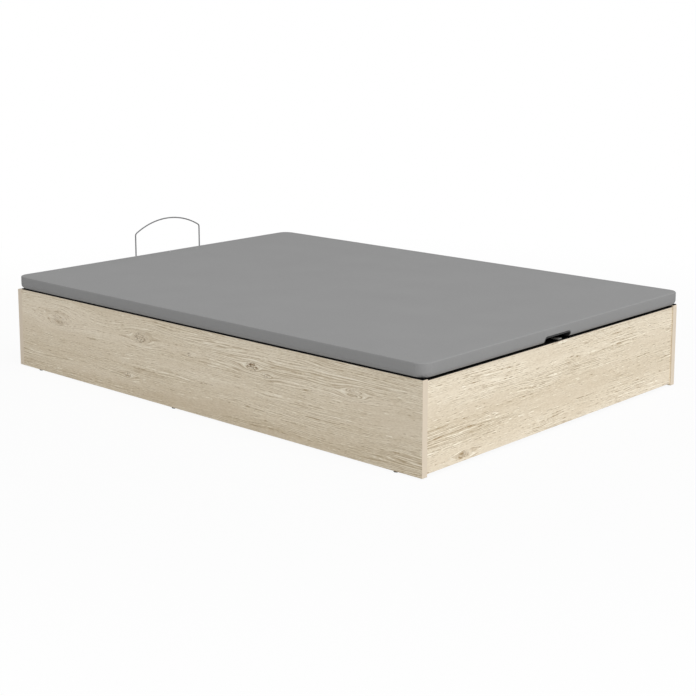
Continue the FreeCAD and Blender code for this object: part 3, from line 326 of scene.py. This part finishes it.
class Finish:
    """Short calls that build one material's nodes."""

    def __init__(self, name, roughness=0.5, metallic=0.0, specular=0.5):
        self.material = bpy.data.materials.new(name)
        self.material.use_nodes = True
        self.tree = self.material.node_tree
        self.shader = self.tree.nodes["Principled BSDF"]
        self.set("Roughness", roughness)
        self.set("Metallic", metallic)
        self.set("Specular IOR Level", specular)

    def set(self, socket, value):
        """Give the shader one value all over."""
        self.shader.inputs[socket].default_value = value

    def feed(self, socket, output):
        """Let the shader follow a node."""
        self.tree.links.new(output, self.shader.inputs[socket])

    def node(self, kind, inputs=(), **settings):
        """A node with its settings and its inputs, each a value or another node's output."""
        made = self.tree.nodes.new(kind)
        for key, value in settings.items():
            setattr(made, key, value)
        for socket, value in dict(inputs).items():
            if isinstance(value, bpy.types.NodeSocket):
                self.tree.links.new(value, made.inputs[socket])
            else:
                made.inputs[socket].default_value = value
        return made

    def coords(self):
        """The surface point."""
        return self.node("ShaderNodeTexCoord").outputs["Object"]

    def place(self):
        """The x, y and z of the surface point."""
        return self.node("ShaderNodeSeparateXYZ", {0: self.coords()}).outputs

    def point(self, x, y, z):
        """A point from its three parts."""
        return self.node("ShaderNodeCombineXYZ", {0: x, 1: y, 2: z}).outputs[0]

    def math(self, operation, first, second=0.0, third=0.0):
        """One step of arithmetic."""
        inputs = {0: first, 1: second, 2: third}
        return self.node("ShaderNodeMath", inputs, operation=operation).outputs[0]

    def times(self, first, second):
        """A product."""
        return self.math("MULTIPLY", first, second)

    def larger(self, first, second):
        """The larger of two values, or the second where there is no first."""
        return second if first is None else self.math("MAXIMUM", first, second)

    def noise(self, vector, scale=1.0, detail=2.0, roughness=0.5):
        """Soft noise from 0 to 1."""
        inputs = {"Vector": vector, "Scale": scale, "Detail": detail, "Roughness": roughness}
        return self.node("ShaderNodeTexNoise", inputs).outputs["Fac"]

    def between(self, value, low, high):
        """A smooth step from 0 at low to 1 at high."""
        inputs = {"Value": value, "From Min": low, "From Max": high}
        return self.node("ShaderNodeMapRange", inputs, interpolation_type="SMOOTHSTEP").outputs["Result"]

    def span(self, value, low, high):
        """A 0 to 1 value spread between low and high."""
        inputs = {"Value": value, "To Min": low, "To Max": high}
        return self.node("ShaderNodeMapRange", inputs).outputs["Result"]

    def mix(self, share, first, second):
        """A colour between two colours."""
        made = self.node("ShaderNodeMix", {"Factor": share}, data_type="RGBA")
        for socket, value in ((made.inputs[6], first), (made.inputs[7], second)):
            if isinstance(value, bpy.types.NodeSocket):
                self.tree.links.new(value, socket)
            else:
                socket.default_value = value
        return made.outputs[2]

    def bump(self, height, depth, strength=1.0):
        """A relief in the surface, so many metres deep."""
        made = self.node("ShaderNodeBump", {"Height": height, "Distance": depth, "Strength": strength})
        self.feed("Normal", made.outputs[0])


class Wood(Finish):
    """Wood whose grain runs along x or y and flows round its knots."""

    def __init__(self, name, along, seed, sway, knots):
        super().__init__(name, specular=0.3)
        self.seed = seed
        self.layers = {}
        x, y, self.height = self.place()
        self.run = y if along == "y" else x
        self.flow = self.math("MULTIPLY_ADD", self.layer(WAVE), sway, self.height)
        self.nearness = None
        self.hearts = None
        for knot in knots:
            self.part_round(knot)

    def part_round(self, knot):
        """Part the grain at a knot and note how near the knot is and where its heart lies."""
        ahead = self.math("SUBTRACT", self.run, knot.run)
        above = self.math("SUBTRACT", self.height, knot.height)
        near = self.close_to(knot, self.times(ahead, KNOT_STRETCH), above)
        self.flow = self.math("SUBTRACT", self.flow, self.times(above, near))
        self.nearness = self.larger(self.nearness, near)
        inner = self.close_to(knot, self.times(ahead, HEART_STRETCH), above)
        heart = self.times(self.between(inner, *HEART_FADE), knot.darkness)
        self.hearts = self.larger(self.hearts, heart)

    def close_to(self, knot, ahead, above):
        """How near a knot is: 2 in its middle, falling off past its girth."""
        area = knot.girth * knot.girth
        rise = self.math("MULTIPLY_ADD", above, above, area / 2)
        return self.math("DIVIDE", area, self.math("MULTIPLY_ADD", ahead, ahead, rise))

    def layer(self, layer):
        """The noise of a layer, made once."""
        if layer not in self.layers:
            across = self.height if layer.straight else self.flow
            place = self.point(self.times(self.run, layer.along), self.times(across, layer.across),
                               self.seed + layer.shift)
            self.layers[layer] = self.noise(place, detail=layer.detail, roughness=layer.roughness)
        return self.layers[layer]

    def tone(self, bands):
        """Pale and dark streaks of several sizes, and the bands of a panel."""
        total = 0.0
        for layer, weight in TONES:
            pale = self.between(self.layer(layer), *NOISE_ENDS)
            total = self.math("MULTIPLY_ADD", pale, weight, total)
        for band in bands:
            off = self.math("ABSOLUTE", self.math("SUBTRACT", self.flow, band.height))
            total = self.math("MULTIPLY_ADD", self.between(off, band.reach, 0.0), band.paler, total)
        return total

    def crowding(self):
        """How close the grain lines stand."""
        total = self.times(self.layer(DENSITY), CROWDING)
        if self.nearness is not None:
            beside = self.between(self.nearness, *KNOT_REACH)
            total = self.math("MULTIPLY_ADD", beside, KNOT_CROWDING, total)
        return total

    def lines(self, kind, crowding, strength):
        """Thin dark lines, and the pale ones between them, that wander and break off."""
        wander = self.times(self.layer(kind.drift), kind.wander)
        ripple = self.math("PINGPONG", self.math("MULTIPLY_ADD", self.flow, kind.rate, wander), 0.5)
        kept = self.math("MULTIPLY_ADD", self.layer(kind.breaks), kind.hold, crowding)
        shown = self.between(kept, *LINE_GATE)
        dark = self.times(self.between(ripple, *DARK_RIPPLE), shown)
        pale = self.times(self.between(ripple, *PALE_RIPPLE), shown)
        return self.times(dark, kind.dark * strength), self.times(pale, kind.pale * strength)

    def scribble(self):
        """Short crossing strokes in the hearts of the knots."""
        folds = self.math("PINGPONG", self.times(self.layer(SCRIBBLE), SCRIBBLE_FOLDS), 0.5)
        return self.times(self.hearts, self.between(folds, *SCRIBBLE_STROKE))

    def tape(self, end, top):
        """Where an edge band shows: at the ends, on the top, or nowhere."""
        taped = None
        if end is not None:
            taped = self.math("GREATER_THAN", self.math("ABSOLUTE", self.run), end - MILLIMETRE)
        if top is not None:
            taped = self.larger(taped, self.math("GREATER_THAN", self.height, top - MILLIMETRE))
        return taped


def wood(name, look, along, seed, knots=(), bands=(), end=None, top=None, sway=0.05, strength=1.0):
    """Grain along x or y round the knots of a piece, with tape on a panel's ends and top."""
    finish = Wood(name, along, seed, sway, knots)
    crowding = finish.crowding()
    coarse_dark, coarse_pale = finish.lines(COARSE, crowding, strength)
    fine_dark, fine_pale = finish.lines(FINE, crowding, strength)
    grain = finish.larger(coarse_dark, fine_dark)
    shown = finish.mix(finish.tone(bands), linear(look.dark), linear(look.pale))
    blush = finish.times(finish.between(finish.layer(DENSITY), *BLUSH_FADE), BLUSH)
    shown = finish.mix(blush, shown, linear(look.blush))
    shown = finish.mix(finish.larger(coarse_pale, fine_pale), shown, linear(look.glint))
    shown = finish.mix(grain, shown, linear(look.pore))
    if knots:
        shown = finish.mix(finish.scribble(), shown, linear(look.knot))
    taped = finish.tape(end, top)
    if taped is not None:
        shown = finish.mix(taped, shown, linear(look.band))
    fibre = finish.layer(FIBRE)
    finish.feed("Base Color", shown)
    finish.feed("Roughness", finish.span(fibre, *WOOD_ROUGHNESS))
    finish.bump(finish.math("SUBTRACT", fibre, grain), WOOD_RELIEF, WOOD_RELIEF_STRENGTH)
    return finish


def plain(name, shown, roughness, metallic=0.0, specular=0.5, spread=0.12, grain=60.0, relief=0.05):
    """An even finish with a slight change of tone and a fine relief, in millimetres."""
    finish = Finish(name, metallic=metallic, specular=specular)
    coords = finish.coords()
    cloud = finish.noise(coords, scale=grain, detail=3.0, roughness=0.6)
    low = [part * (1 - spread) for part in shown]
    high = [min(1.0, part * (1 + spread)) for part in shown]
    finish.feed("Base Color", finish.mix(finish.between(cloud, *NOISE_ENDS), linear(low), linear(high)))
    glossy = roughness * (1 - ROUGHNESS_SPREAD)
    dull = min(1.0, roughness * (1 + ROUGHNESS_SPREAD))
    finish.feed("Roughness", finish.span(cloud, glossy, dull))
    if relief:
        finish.bump(finish.noise(coords, scale=grain * RELIEF_RATE, detail=1.0), relief * MILLIMETRE)
    return finish


def cloth(name, look):
    """Plain weave that reads the same on the top, the sides and the hem."""
    finish = Finish(name, roughness=0.95, specular=0.08)
    turn = 2 * math.pi / look.pitch
    waves = [finish.math("SINE", finish.times(part, turn)) for part in finish.place()]
    weave = finish.math("ADD", finish.math("ADD", waves[0], waves[1]), waves[2])
    threads = finish.between(weave, -WEAVE_REACH, WEAVE_REACH)
    coords = finish.coords()
    slub = finish.noise(coords, scale=SLUB_RATE)
    cloud = finish.noise(coords, scale=CLOUD_RATE, detail=3.0)
    tone = finish.times(cloud, CLOUD_TONE)
    tone = finish.math("MULTIPLY_ADD", slub, SLUB_TONE, tone)
    tone = finish.math("MULTIPLY_ADD", threads, THREAD_TONE, tone)
    finish.feed("Base Color", finish.mix(tone, linear(look.shade), linear(look.light)))
    relief = finish.math("MULTIPLY_ADD", slub, SLUB_HEIGHT, threads)
    finish.bump(relief, WEAVE_RELIEF, WEAVE_RELIEF_STRENGTH)
    return finish


def dress(finish, *names):
    """Give CAD nodes one finish."""
    for name in names:
        mesh = NODES[name].data
        mesh.materials.clear()
        mesh.materials.append(finish.material)


def clear():
    """Leave edit mode and let go of everything."""
    if bpy.context.mode != "OBJECT":
        bpy.ops.object.mode_set(mode="OBJECT")
    bpy.ops.object.select_all(action="DESELECT")


def block(name, low, high):
    """A box between two corners, its place in the mesh."""
    clear()
    middle = [(first + last) / 2 for first, last in zip(low, high)]
    bpy.ops.mesh.primitive_cube_add(size=1, location=middle)
    made = bpy.context.object
    made.name = name
    made.scale = [last - first for first, last in zip(low, high)]
    bpy.ops.object.transform_apply(location=True, rotation=True, scale=True)
    return made


def pick(kind, wanted):
    """Select the edges or faces, in edit mode, that a test on them wants."""
    mesh = bmesh.from_edit_mesh(bpy.context.object.data)
    bpy.ops.mesh.select_all(action="DESELECT")
    bpy.ops.mesh.select_mode(type="EDGE" if kind == "edges" else "FACE")
    count = 0
    for part in getattr(mesh, kind):
        if wanted(part):
            part.select_set(True)
            count += 1
    bmesh.update_edit_mesh(bpy.context.object.data)
    if not count:
        raise RuntimeError(f"no {kind} found on {bpy.context.object.name}")


def bevel(wanted, width, steps):
    """Round the edges, in edit mode, that a test on them wants."""
    pick("edges", wanted)
    bpy.ops.mesh.bevel(offset=width, offset_type="OFFSET", segments=steps, affect="EDGES")


def level(edge, height):
    """Whether an edge lies at a height."""
    return all(abs(corner.co.z - height) < CLOSE for corner in edge.verts)


def upright(edge):
    """Whether an edge rises."""
    return abs(edge.verts[0].co.z - edge.verts[1].co.z) > MILLIMETRE


def slice_at(axis, places):
    """Cut lines across the piece in edit mode, one at each place along an axis."""
    for place in places:
        spot = [0, 0, 0]
        normal = [0, 0, 0]
        spot[axis] = place
        normal[axis] = 1
        bpy.ops.mesh.select_all(action="SELECT")
        bpy.ops.mesh.bisect(plane_co=spot, plane_no=normal)


def evenly(low, high, pitch):
    """Even places from low to high, both ends left out, about a pitch apart."""
    count = max(1, round((high - low) / pitch))
    return [low + (high - low) * step / count for step in range(1, count)]


def apply(made, kind, **settings):
    """Add a modifier to a piece and apply it."""
    modifier = made.modifiers.new(kind.title(), kind)
    for key, value in settings.items():
        setattr(modifier, key, value)
    bpy.context.view_layer.objects.active = made
    bpy.ops.object.modifier_apply(modifier=modifier.name)


def copies(name, form, places):
    """One piece from copies of a form, each moved and turned about z; the form itself goes."""
    clear()
    made = []
    for spot, turn in places:
        twin = form.copy()
        twin.data = form.data.copy()
        bpy.context.collection.objects.link(twin)
        twin.data.transform(Matrix.Translation(spot) @ Matrix.Rotation(turn, 4, "Z"))
        twin.select_set(True)
        made.append(twin)
    bpy.data.objects.remove(form)
    bpy.context.view_layer.objects.active = made[0]
    bpy.ops.object.join()
    made[0].name = name
    return made[0]


class BED_OT_panels(bpy.types.Operator):
    """Finish the oak-look panels"""
    bl_idname = "bed.panels"
    bl_label = "Oak panels"

    def execute(self, context):
        look = context.scene.bed_oak
        end = -PANEL_LOW[1]
        top = PANEL_HIGH[2]
        dress(wood("oak_left", look, "y", 3.1, LEFT_KNOTS, LEFT_BANDS, end, top), "side_panel_left")
        dress(wood("oak_right", look, "y", 7.7, RIGHT_KNOTS, RIGHT_BANDS, end, top), "side_panel_right")
        foot_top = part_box("foot_panel")[1][2]
        foot = wood("oak_foot", look, "x", 11.3, FOOT_KNOTS, FOOT_BANDS, top=foot_top, sway=0.02,
                    strength=1.5)
        dress(foot, "foot_panel")
        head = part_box("head_panel")[1]
        dress(wood("oak_head", look, "x", 17.9, HEAD_KNOTS, HEAD_BANDS, head[0], head[2]), "head_panel")
        return {"FINISHED"}


class BED_OT_bottom(bpy.types.Operator):
    """Finish the cleats, the stretcher and the bottom boards"""
    bl_idname = "bed.bottom"
    bl_label = "Bottom"

    def execute(self, context):
        pine = context.scene.bed_pine
        even = context.scene.bed_even
        dress(wood("pine_long", pine, "y", 23.3), "cleat_left", "cleat_right")
        across = wood("pine_across", pine, "x", 29.9)
        dress(across, "cleat_foot", "cleat_head", "stretcher", "stretcher_dowels")
        board = plain("hardboard", even.hardboard, 0.55, specular=0.3, spread=0.015, grain=160.0)
        dress(board, "bottom_board_foot", "bottom_board_head")
        dress(plain("strip_white", even.strip, 0.4, spread=0.03), "joint_strip")
        return {"FINISHED"}


class BED_OT_upholstery(bpy.types.Operator):
    """Upholster the lid: rounded pad, notch for the finger cup, hem turned under"""
    bl_idname = "bed.upholstery"
    bl_label = "Upholstered lid"

    def execute(self, context):
        shape = context.scene.bed_lid
        bottom = LID_LOW[2]
        top = LID_HIGH[2]
        made = block("lid_upholstery", LID_LOW, LID_HIGH)
        bpy.ops.object.mode_set(mode="EDIT")
        bevel(upright, shape.corner, shape.edge_steps)
        bevel(lambda edge: level(edge, top), shape.edge, shape.edge_steps)
        bevel(lambda edge: level(edge, bottom), shape.lower_edge, shape.edge_steps)
        self.open_below(shape)
        bpy.ops.object.mode_set(mode="OBJECT")
        self.sink(made, shape)
        apply(made, "SOLIDIFY", thickness=shape.cloth, offset=-1)
        self.notch(made, shape)
        bpy.ops.object.shade_smooth_by_angle(angle=SMOOTH_ANGLE)
        made.data.materials.append(cloth("lid_cloth", context.scene.bed_cloth).material)
        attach(made, "lid")
        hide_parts("lid_cover", "lid_foam", "edge_padding_strips")
        return {"FINISHED"}

    def open_below(self, shape):
        """Grid the pad and take out its underside as far as the hem."""
        hem_x = LID_HIGH[0] - shape.hem
        hem_foot = LID_LOW[1] + shape.hem
        hem_head = LID_HIGH[1] - shape.hem
        slice_at(0, [-hem_x, *evenly(-hem_x, hem_x, shape.grid), hem_x])
        slice_at(1, [hem_foot, *evenly(hem_foot, hem_head, shape.grid), hem_head])

        def inside_hem(face):
            middle = face.calc_center_median()
            return face.normal.z < DOWNWARD and abs(middle.x) < hem_x and hem_foot < middle.y < hem_head

        pick("faces", inside_hem)
        bpy.ops.mesh.delete(type="FACE")

    def sink(self, made, shape):
        """Let the top of the pad roll off towards its edge and lie a little uneven."""
        middle = (LID_LOW[2] + LID_HIGH[2]) / 2
        for corner in made.data.vertices:
            place = corner.co
            if place.z < middle:
                continue
            share = (place.z - middle) / (LID_HIGH[2] - middle)
            inward = min(LID_HIGH[0] - abs(place.x), place.y - LID_LOW[1], LID_HIGH[1] - place.y)
            fall = shape.roll * math.exp(-inward / shape.roll_reach)
            cell = Vector((place.x * shape.dimple_rate, place.y * shape.dimple_rate, DIMPLE_SLICE))
            rough = shape.dimple * (0.5 + 0.5 * noise.noise(cell))
            place.z -= share * (fall + rough)

    def notch(self, made, shape):
        """Cut the opening that the finger cup fills."""
        roof = CUP_LOW[2] + shape.cup_height
        cutter = block("cup_cutter", (CUP_LOW[0], LID_LOW[1] - PAST, LID_LOW[2] - PAST),
                       (CUP_HIGH[0], CUP_HIGH[1], roof))
        bpy.ops.object.mode_set(mode="EDIT")
        bevel(lambda edge: level(edge, roof) and abs(edge.verts[0].co.y - edge.verts[1].co.y) > PAST,
              shape.cup_corner, shape.edge_steps)
        clear()
        made.select_set(True)
        apply(made, "BOOLEAN", operation="DIFFERENCE", object=cutter, solver="EXACT")
        bpy.data.objects.remove(cutter)


class BED_OT_staples(bpy.types.Operator):
    """Staple the hem to the frame and the board"""
    bl_idname = "bed.staples"
    bl_label = "Hem staples"

    def execute(self, context):
        shape = context.scene.bed_staple
        blocked = [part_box(name) for name in HEM_FITTINGS]
        free = []
        for spot, turn in self.places(shape, context.scene.bed_lid.hem - shape.margin):
            if not any(self.meets(spot, box, shape.crown) for box in blocked):
                free.append((spot, turn))
        made = copies("hem_staples", self.form(shape), free)
        steel = plain("staple_steel", context.scene.bed_even.staple, 0.3, metallic=1.0, spread=0.05)
        made.data.materials.append(steel.material)
        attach(made, "lid")
        return {"FINISHED"}

    def form(self, shape):
        """One staple with its edges taken off, at the origin."""
        reach = shape.crown / 2
        rise = shape.wire / 2
        made = block("staple_form", (-reach, -rise, -rise), (reach, rise, rise))
        bpy.ops.object.mode_set(mode="EDIT")
        bevel(lambda edge: True, shape.wire / 4, 1)
        bpy.ops.object.mode_set(mode="OBJECT")
        return made

    def places(self, shape, inset):
        """Where a staple would go and how it turns: along the sides, then along the foot and the head."""
        left = LID_LOW[0] + inset
        right = LID_HIGH[0] - inset
        foot = LID_LOW[1] + inset
        head = LID_HIGH[1] - inset
        along = [(x, y, math.pi / 2) for y in evenly(foot, head, shape.pitch) for x in (left, right)]
        across = [(x, y, 0) for x in evenly(left, right, shape.pitch) for y in (foot, head)]
        return [(Vector((x, y, LID_LOW[2])), turn) for x, y, turn in along + across]

    def meets(self, spot, box, reach):
        """Whether a staple at a spot would run into a fitting, seen from below."""
        low, high = box
        return all(low[axis] - reach < spot[axis] < high[axis] + reach for axis in (0, 1))


class BED_OT_lid_frame(bpy.types.Operator):
    """Finish the lid's steel frame and its board"""
    bl_idname = "bed.lid_frame"
    bl_label = "Lid frame"

    def execute(self, context):
        even = context.scene.bed_even
        paint = plain("frame_paint", even.frame, 0.45, spread=0.08, grain=35.0)
        dress(paint, "frame_rail_left", "frame_rail_right", "frame_rail_foot", "frame_rail_head",
              "frame_cross_rails")
        board = plain("fibreboard", even.fibreboard, 0.8, specular=0.2, spread=0.08, grain=220.0)
        dress(board, "lid_board")
        return {"FINISHED"}


class BED_OT_hardware(bpy.types.Operator):
    """Finish brackets, hinges and screws"""
    bl_idname = "bed.hardware"
    bl_label = "Brackets, hinges and screws"

    def execute(self, context):
        even = context.scene.bed_even
        zinc = plain("zinc", even.zinc, 0.45, metallic=1.0, spread=0.06, grain=90.0)
        dress(zinc, "corner_brackets", "hinge_lower_leaves", "hinge_upper_leaves", "hinge_pins",
              "wood_screws", "cleat_screws", "lid_bracket_screws", "hinge_panel_screws", "hinge_lid_screws",
              "strut_base_plate_left", "strut_base_plate_right", "strut_lid_bracket_left",
              "strut_lid_bracket_right", "strut_base_clips", "strut_lid_clips")
        return {"FINISHED"}


class BED_OT_struts(bpy.types.Operator):
    """Finish the gas struts"""
    bl_idname = "bed.struts"
    bl_label = "Gas struts"

    def execute(self, context):
        even = context.scene.bed_even
        paint = plain("strut_paint", even.tube, 0.35, spread=0.08, grain=70.0)
        chrome = plain("strut_chrome", even.chrome, 0.14, metallic=1.0, spread=0.02, relief=0.01)
        nylon = plain("strut_nylon", even.nylon, 0.55)
        for side in ("left", "right"):
            dress(paint, f"strut_tube_{side}")
            dress(chrome, f"strut_rod_{side}")
            dress(nylon, f"strut_gland_{side}", f"strut_tube_eye_{side}", f"strut_rod_eye_{side}",
                  f"strut_piston_{side}")
        return {"FINISHED"}


class BED_OT_pull(bpy.types.Operator):
    """Finish the finger cup and its pull tab"""
    bl_idname = "bed.pull"
    bl_label = "Finger cup and pull tab"

    def execute(self, context):
        even = context.scene.bed_even
        dress(plain("cup_plastic", even.cup, 0.45, spread=0.08, grain=160.0), "finger_cup")
        dress(plain("tab_plastic", even.tab, 0.35, spread=0.08, grain=160.0), "pull_tab")
        dress(plain("pin_steel", even.pin, 0.3, metallic=1.0, spread=0.04), "pull_tab_pin", "cup_screws")
        return {"FINISHED"}


class BED_OT_stop(bpy.types.Operator):
    """Finish the wire mattress stop"""
    bl_idname = "bed.stop"
    bl_label = "Mattress stop"

    def execute(self, context):
        even = context.scene.bed_even
        dress(plain("bow_steel", even.bow, 0.4, spread=0.08, grain=120.0), "mattress_stop_bow")
        steel = plain("socket_steel", even.socket, 0.4, metallic=1.0, spread=0.06)
        dress(steel, "bow_sockets", "bow_clamp_screws")
        return {"FINISHED"}


class BED_OT_rests(bpy.types.Operator):
    """Finish the glides, the centre foot and the rest strips"""
    bl_idname = "bed.rests"
    bl_label = "Glides and rest strips"

    def execute(self, context):
        even = context.scene.bed_even
        dress(plain("glide_plastic", even.glide, 0.5), "floor_glides", "centre_foot")
        # The rest strips get a near-black colour that also paints the shade in the gap under the lid
        rubber = plain("rest_rubber", even.rubber, 0.9, specular=0.1)
        dress(rubber, "rest_strips_sides", "rest_strip_foot")
        return {"FINISHED"}


class BED_OT_stage(bpy.types.Operator):
    """Set the floor, the lights and the camera"""
    bl_idname = "bed.stage"
    bl_label = "Stage"

    def execute(self, context):
        look = context.scene.bed_stage
        clear()
        bpy.ops.mesh.primitive_plane_add(size=look.floor_size)
        floor = context.object
        floor.name = "studio_floor"
        floor.data.materials.append(self.paper(look).material)
        self.sky(context.scene, look)
        self.key_light(look)
        bpy.ops.object.camera_add(location=look.eye, rotation=(math.pi / 2 - look.dip, 0, -look.heading))
        camera = context.object
        camera.name = "photo_camera"
        camera.data.lens = look.lens
        camera.data.sensor_width = SENSOR_WIDTH
        camera.data.shift_y = look.shift
        context.scene.camera = camera
        context.scene.view_settings.view_transform = "Standard"
        return {"FINISHED"}

    def seen(self, tree):
        """Whether a ray comes from the camera, straight, mirrored or through glass."""
        path = tree.nodes.new("ShaderNodeLightPath")
        total = path.outputs["Is Camera Ray"]
        for name in ("Is Glossy Ray", "Is Transmission Ray"):
            larger = tree.nodes.new("ShaderNodeMath")
            larger.operation = "MAXIMUM"
            tree.links.new(total, larger.inputs[0])
            tree.links.new(path.outputs[name], larger.inputs[1])
            total = larger.outputs[0]
        return total

    def blend(self, tree, share, first, second, output):
        """Mix two shaders into the output of a material or a world."""
        made = tree.nodes.new("ShaderNodeMixShader")
        for socket, source in zip(made.inputs, (share, first.outputs[0], second.outputs[0])):
            tree.links.new(source, socket)
        tree.links.new(made.outputs[0], tree.nodes[output].inputs["Surface"])

    def paper(self, look):
        """White paper that keeps a faint shadow, which fades out away from the bed."""
        finish = plain("studio_paper", look.paper, 0.9, specular=0.1, spread=0.005, relief=0.0)
        glow = finish.node("ShaderNodeEmission", {"Color": WHITE})
        reach = finish.node("ShaderNodeVectorMath", {0: finish.coords()}, operation="LENGTH")
        faded = finish.between(reach.outputs["Value"], look.fade_start, look.fade_end)
        white = finish.math("MULTIPLY_ADD", faded, look.shadow, 1 - look.shadow)
        share = finish.times(self.seen(finish.tree), white)
        self.blend(finish.tree, share, finish.shader, glow, "Material Output")
        return finish

    def sky(self, scene, look):
        """White to the eye, an even light to everything else."""
        scene.world = bpy.data.worlds.new("studio_sky")
        scene.world.use_nodes = True
        tree = scene.world.node_tree
        light = tree.nodes["Background"]
        white = tree.nodes.new("ShaderNodeBackground")
        for ground, strength in ((light, look.sky), (white, 1)):
            ground.inputs["Color"].default_value = WHITE
            ground.inputs["Strength"].default_value = strength
        self.blend(tree, self.seen(tree), light, white, "World Output")

    def key_light(self, look):
        """A large soft light turned to the bed."""
        aim = Vector(look.key_aim) - Vector(look.key_place)
        turn = aim.to_track_quat("-Z", "Y").to_euler()
        bpy.ops.object.light_add(type="AREA", location=look.key_place, rotation=turn)
        lamp = bpy.context.object
        lamp.name = "key_light"
        lamp.data.size = look.key_size
        lamp.data.energy = look.key_power


OPERATORS = (
    BED_OT_panels,
    BED_OT_bottom,
    BED_OT_upholstery,
    BED_OT_staples,
    BED_OT_lid_frame,
    BED_OT_hardware,
    BED_OT_struts,
    BED_OT_pull,
    BED_OT_stop,
    BED_OT_rests,
    BED_OT_stage,
)
LOOKS = {
    "bed_oak": OakLook,
    "bed_pine": PineLook,
    "bed_cloth": ClothLook,
    "bed_even": EvenLook,
    "bed_lid": LidShape,
    "bed_staple": StapleShape,
    "bed_stage": StageLook,
}


class BED_PT_dressing(bpy.types.Panel):
    """Lists what dresses the bed, and its sizes and colours"""
    bl_idname = "BED_PT_dressing"
    bl_label = "Storage bed"
    bl_space_type = "VIEW_3D"
    bl_region_type = "UI"
    bl_category = "Bed"

    def draw(self, context):
        for operator in OPERATORS:
            self.layout.operator(operator.bl_idname)
        for name, group in LOOKS.items():
            box = self.layout.box()
            box.label(text=group.__doc__)
            for key in group.__annotations__:
                box.prop(getattr(context.scene, name), key)


def register():
    for group in LOOKS.values():
        bpy.utils.register_class(group)
    for operator in OPERATORS:
        bpy.utils.register_class(operator)
    bpy.utils.register_class(BED_PT_dressing)
    for name, group in LOOKS.items():
        setattr(bpy.types.Scene, name, PointerProperty(type=group))


def unregister():
    for name in LOOKS:
        delattr(bpy.types.Scene, name)
    bpy.utils.unregister_class(BED_PT_dressing)
    for operator in reversed(OPERATORS):
        bpy.utils.unregister_class(operator)
    for group in reversed(LOOKS.values()):
        bpy.utils.unregister_class(group)


def main():
    register()
    bpy.ops.bed.panels()
    bpy.ops.bed.bottom()
    bpy.ops.bed.upholstery()
    bpy.ops.bed.staples()
    bpy.ops.bed.lid_frame()
    bpy.ops.bed.hardware()
    bpy.ops.bed.struts()
    bpy.ops.bed.pull()
    bpy.ops.bed.stop()
    bpy.ops.bed.rests()
    bpy.ops.bed.stage()


if __name__ == "__main__":
    main()
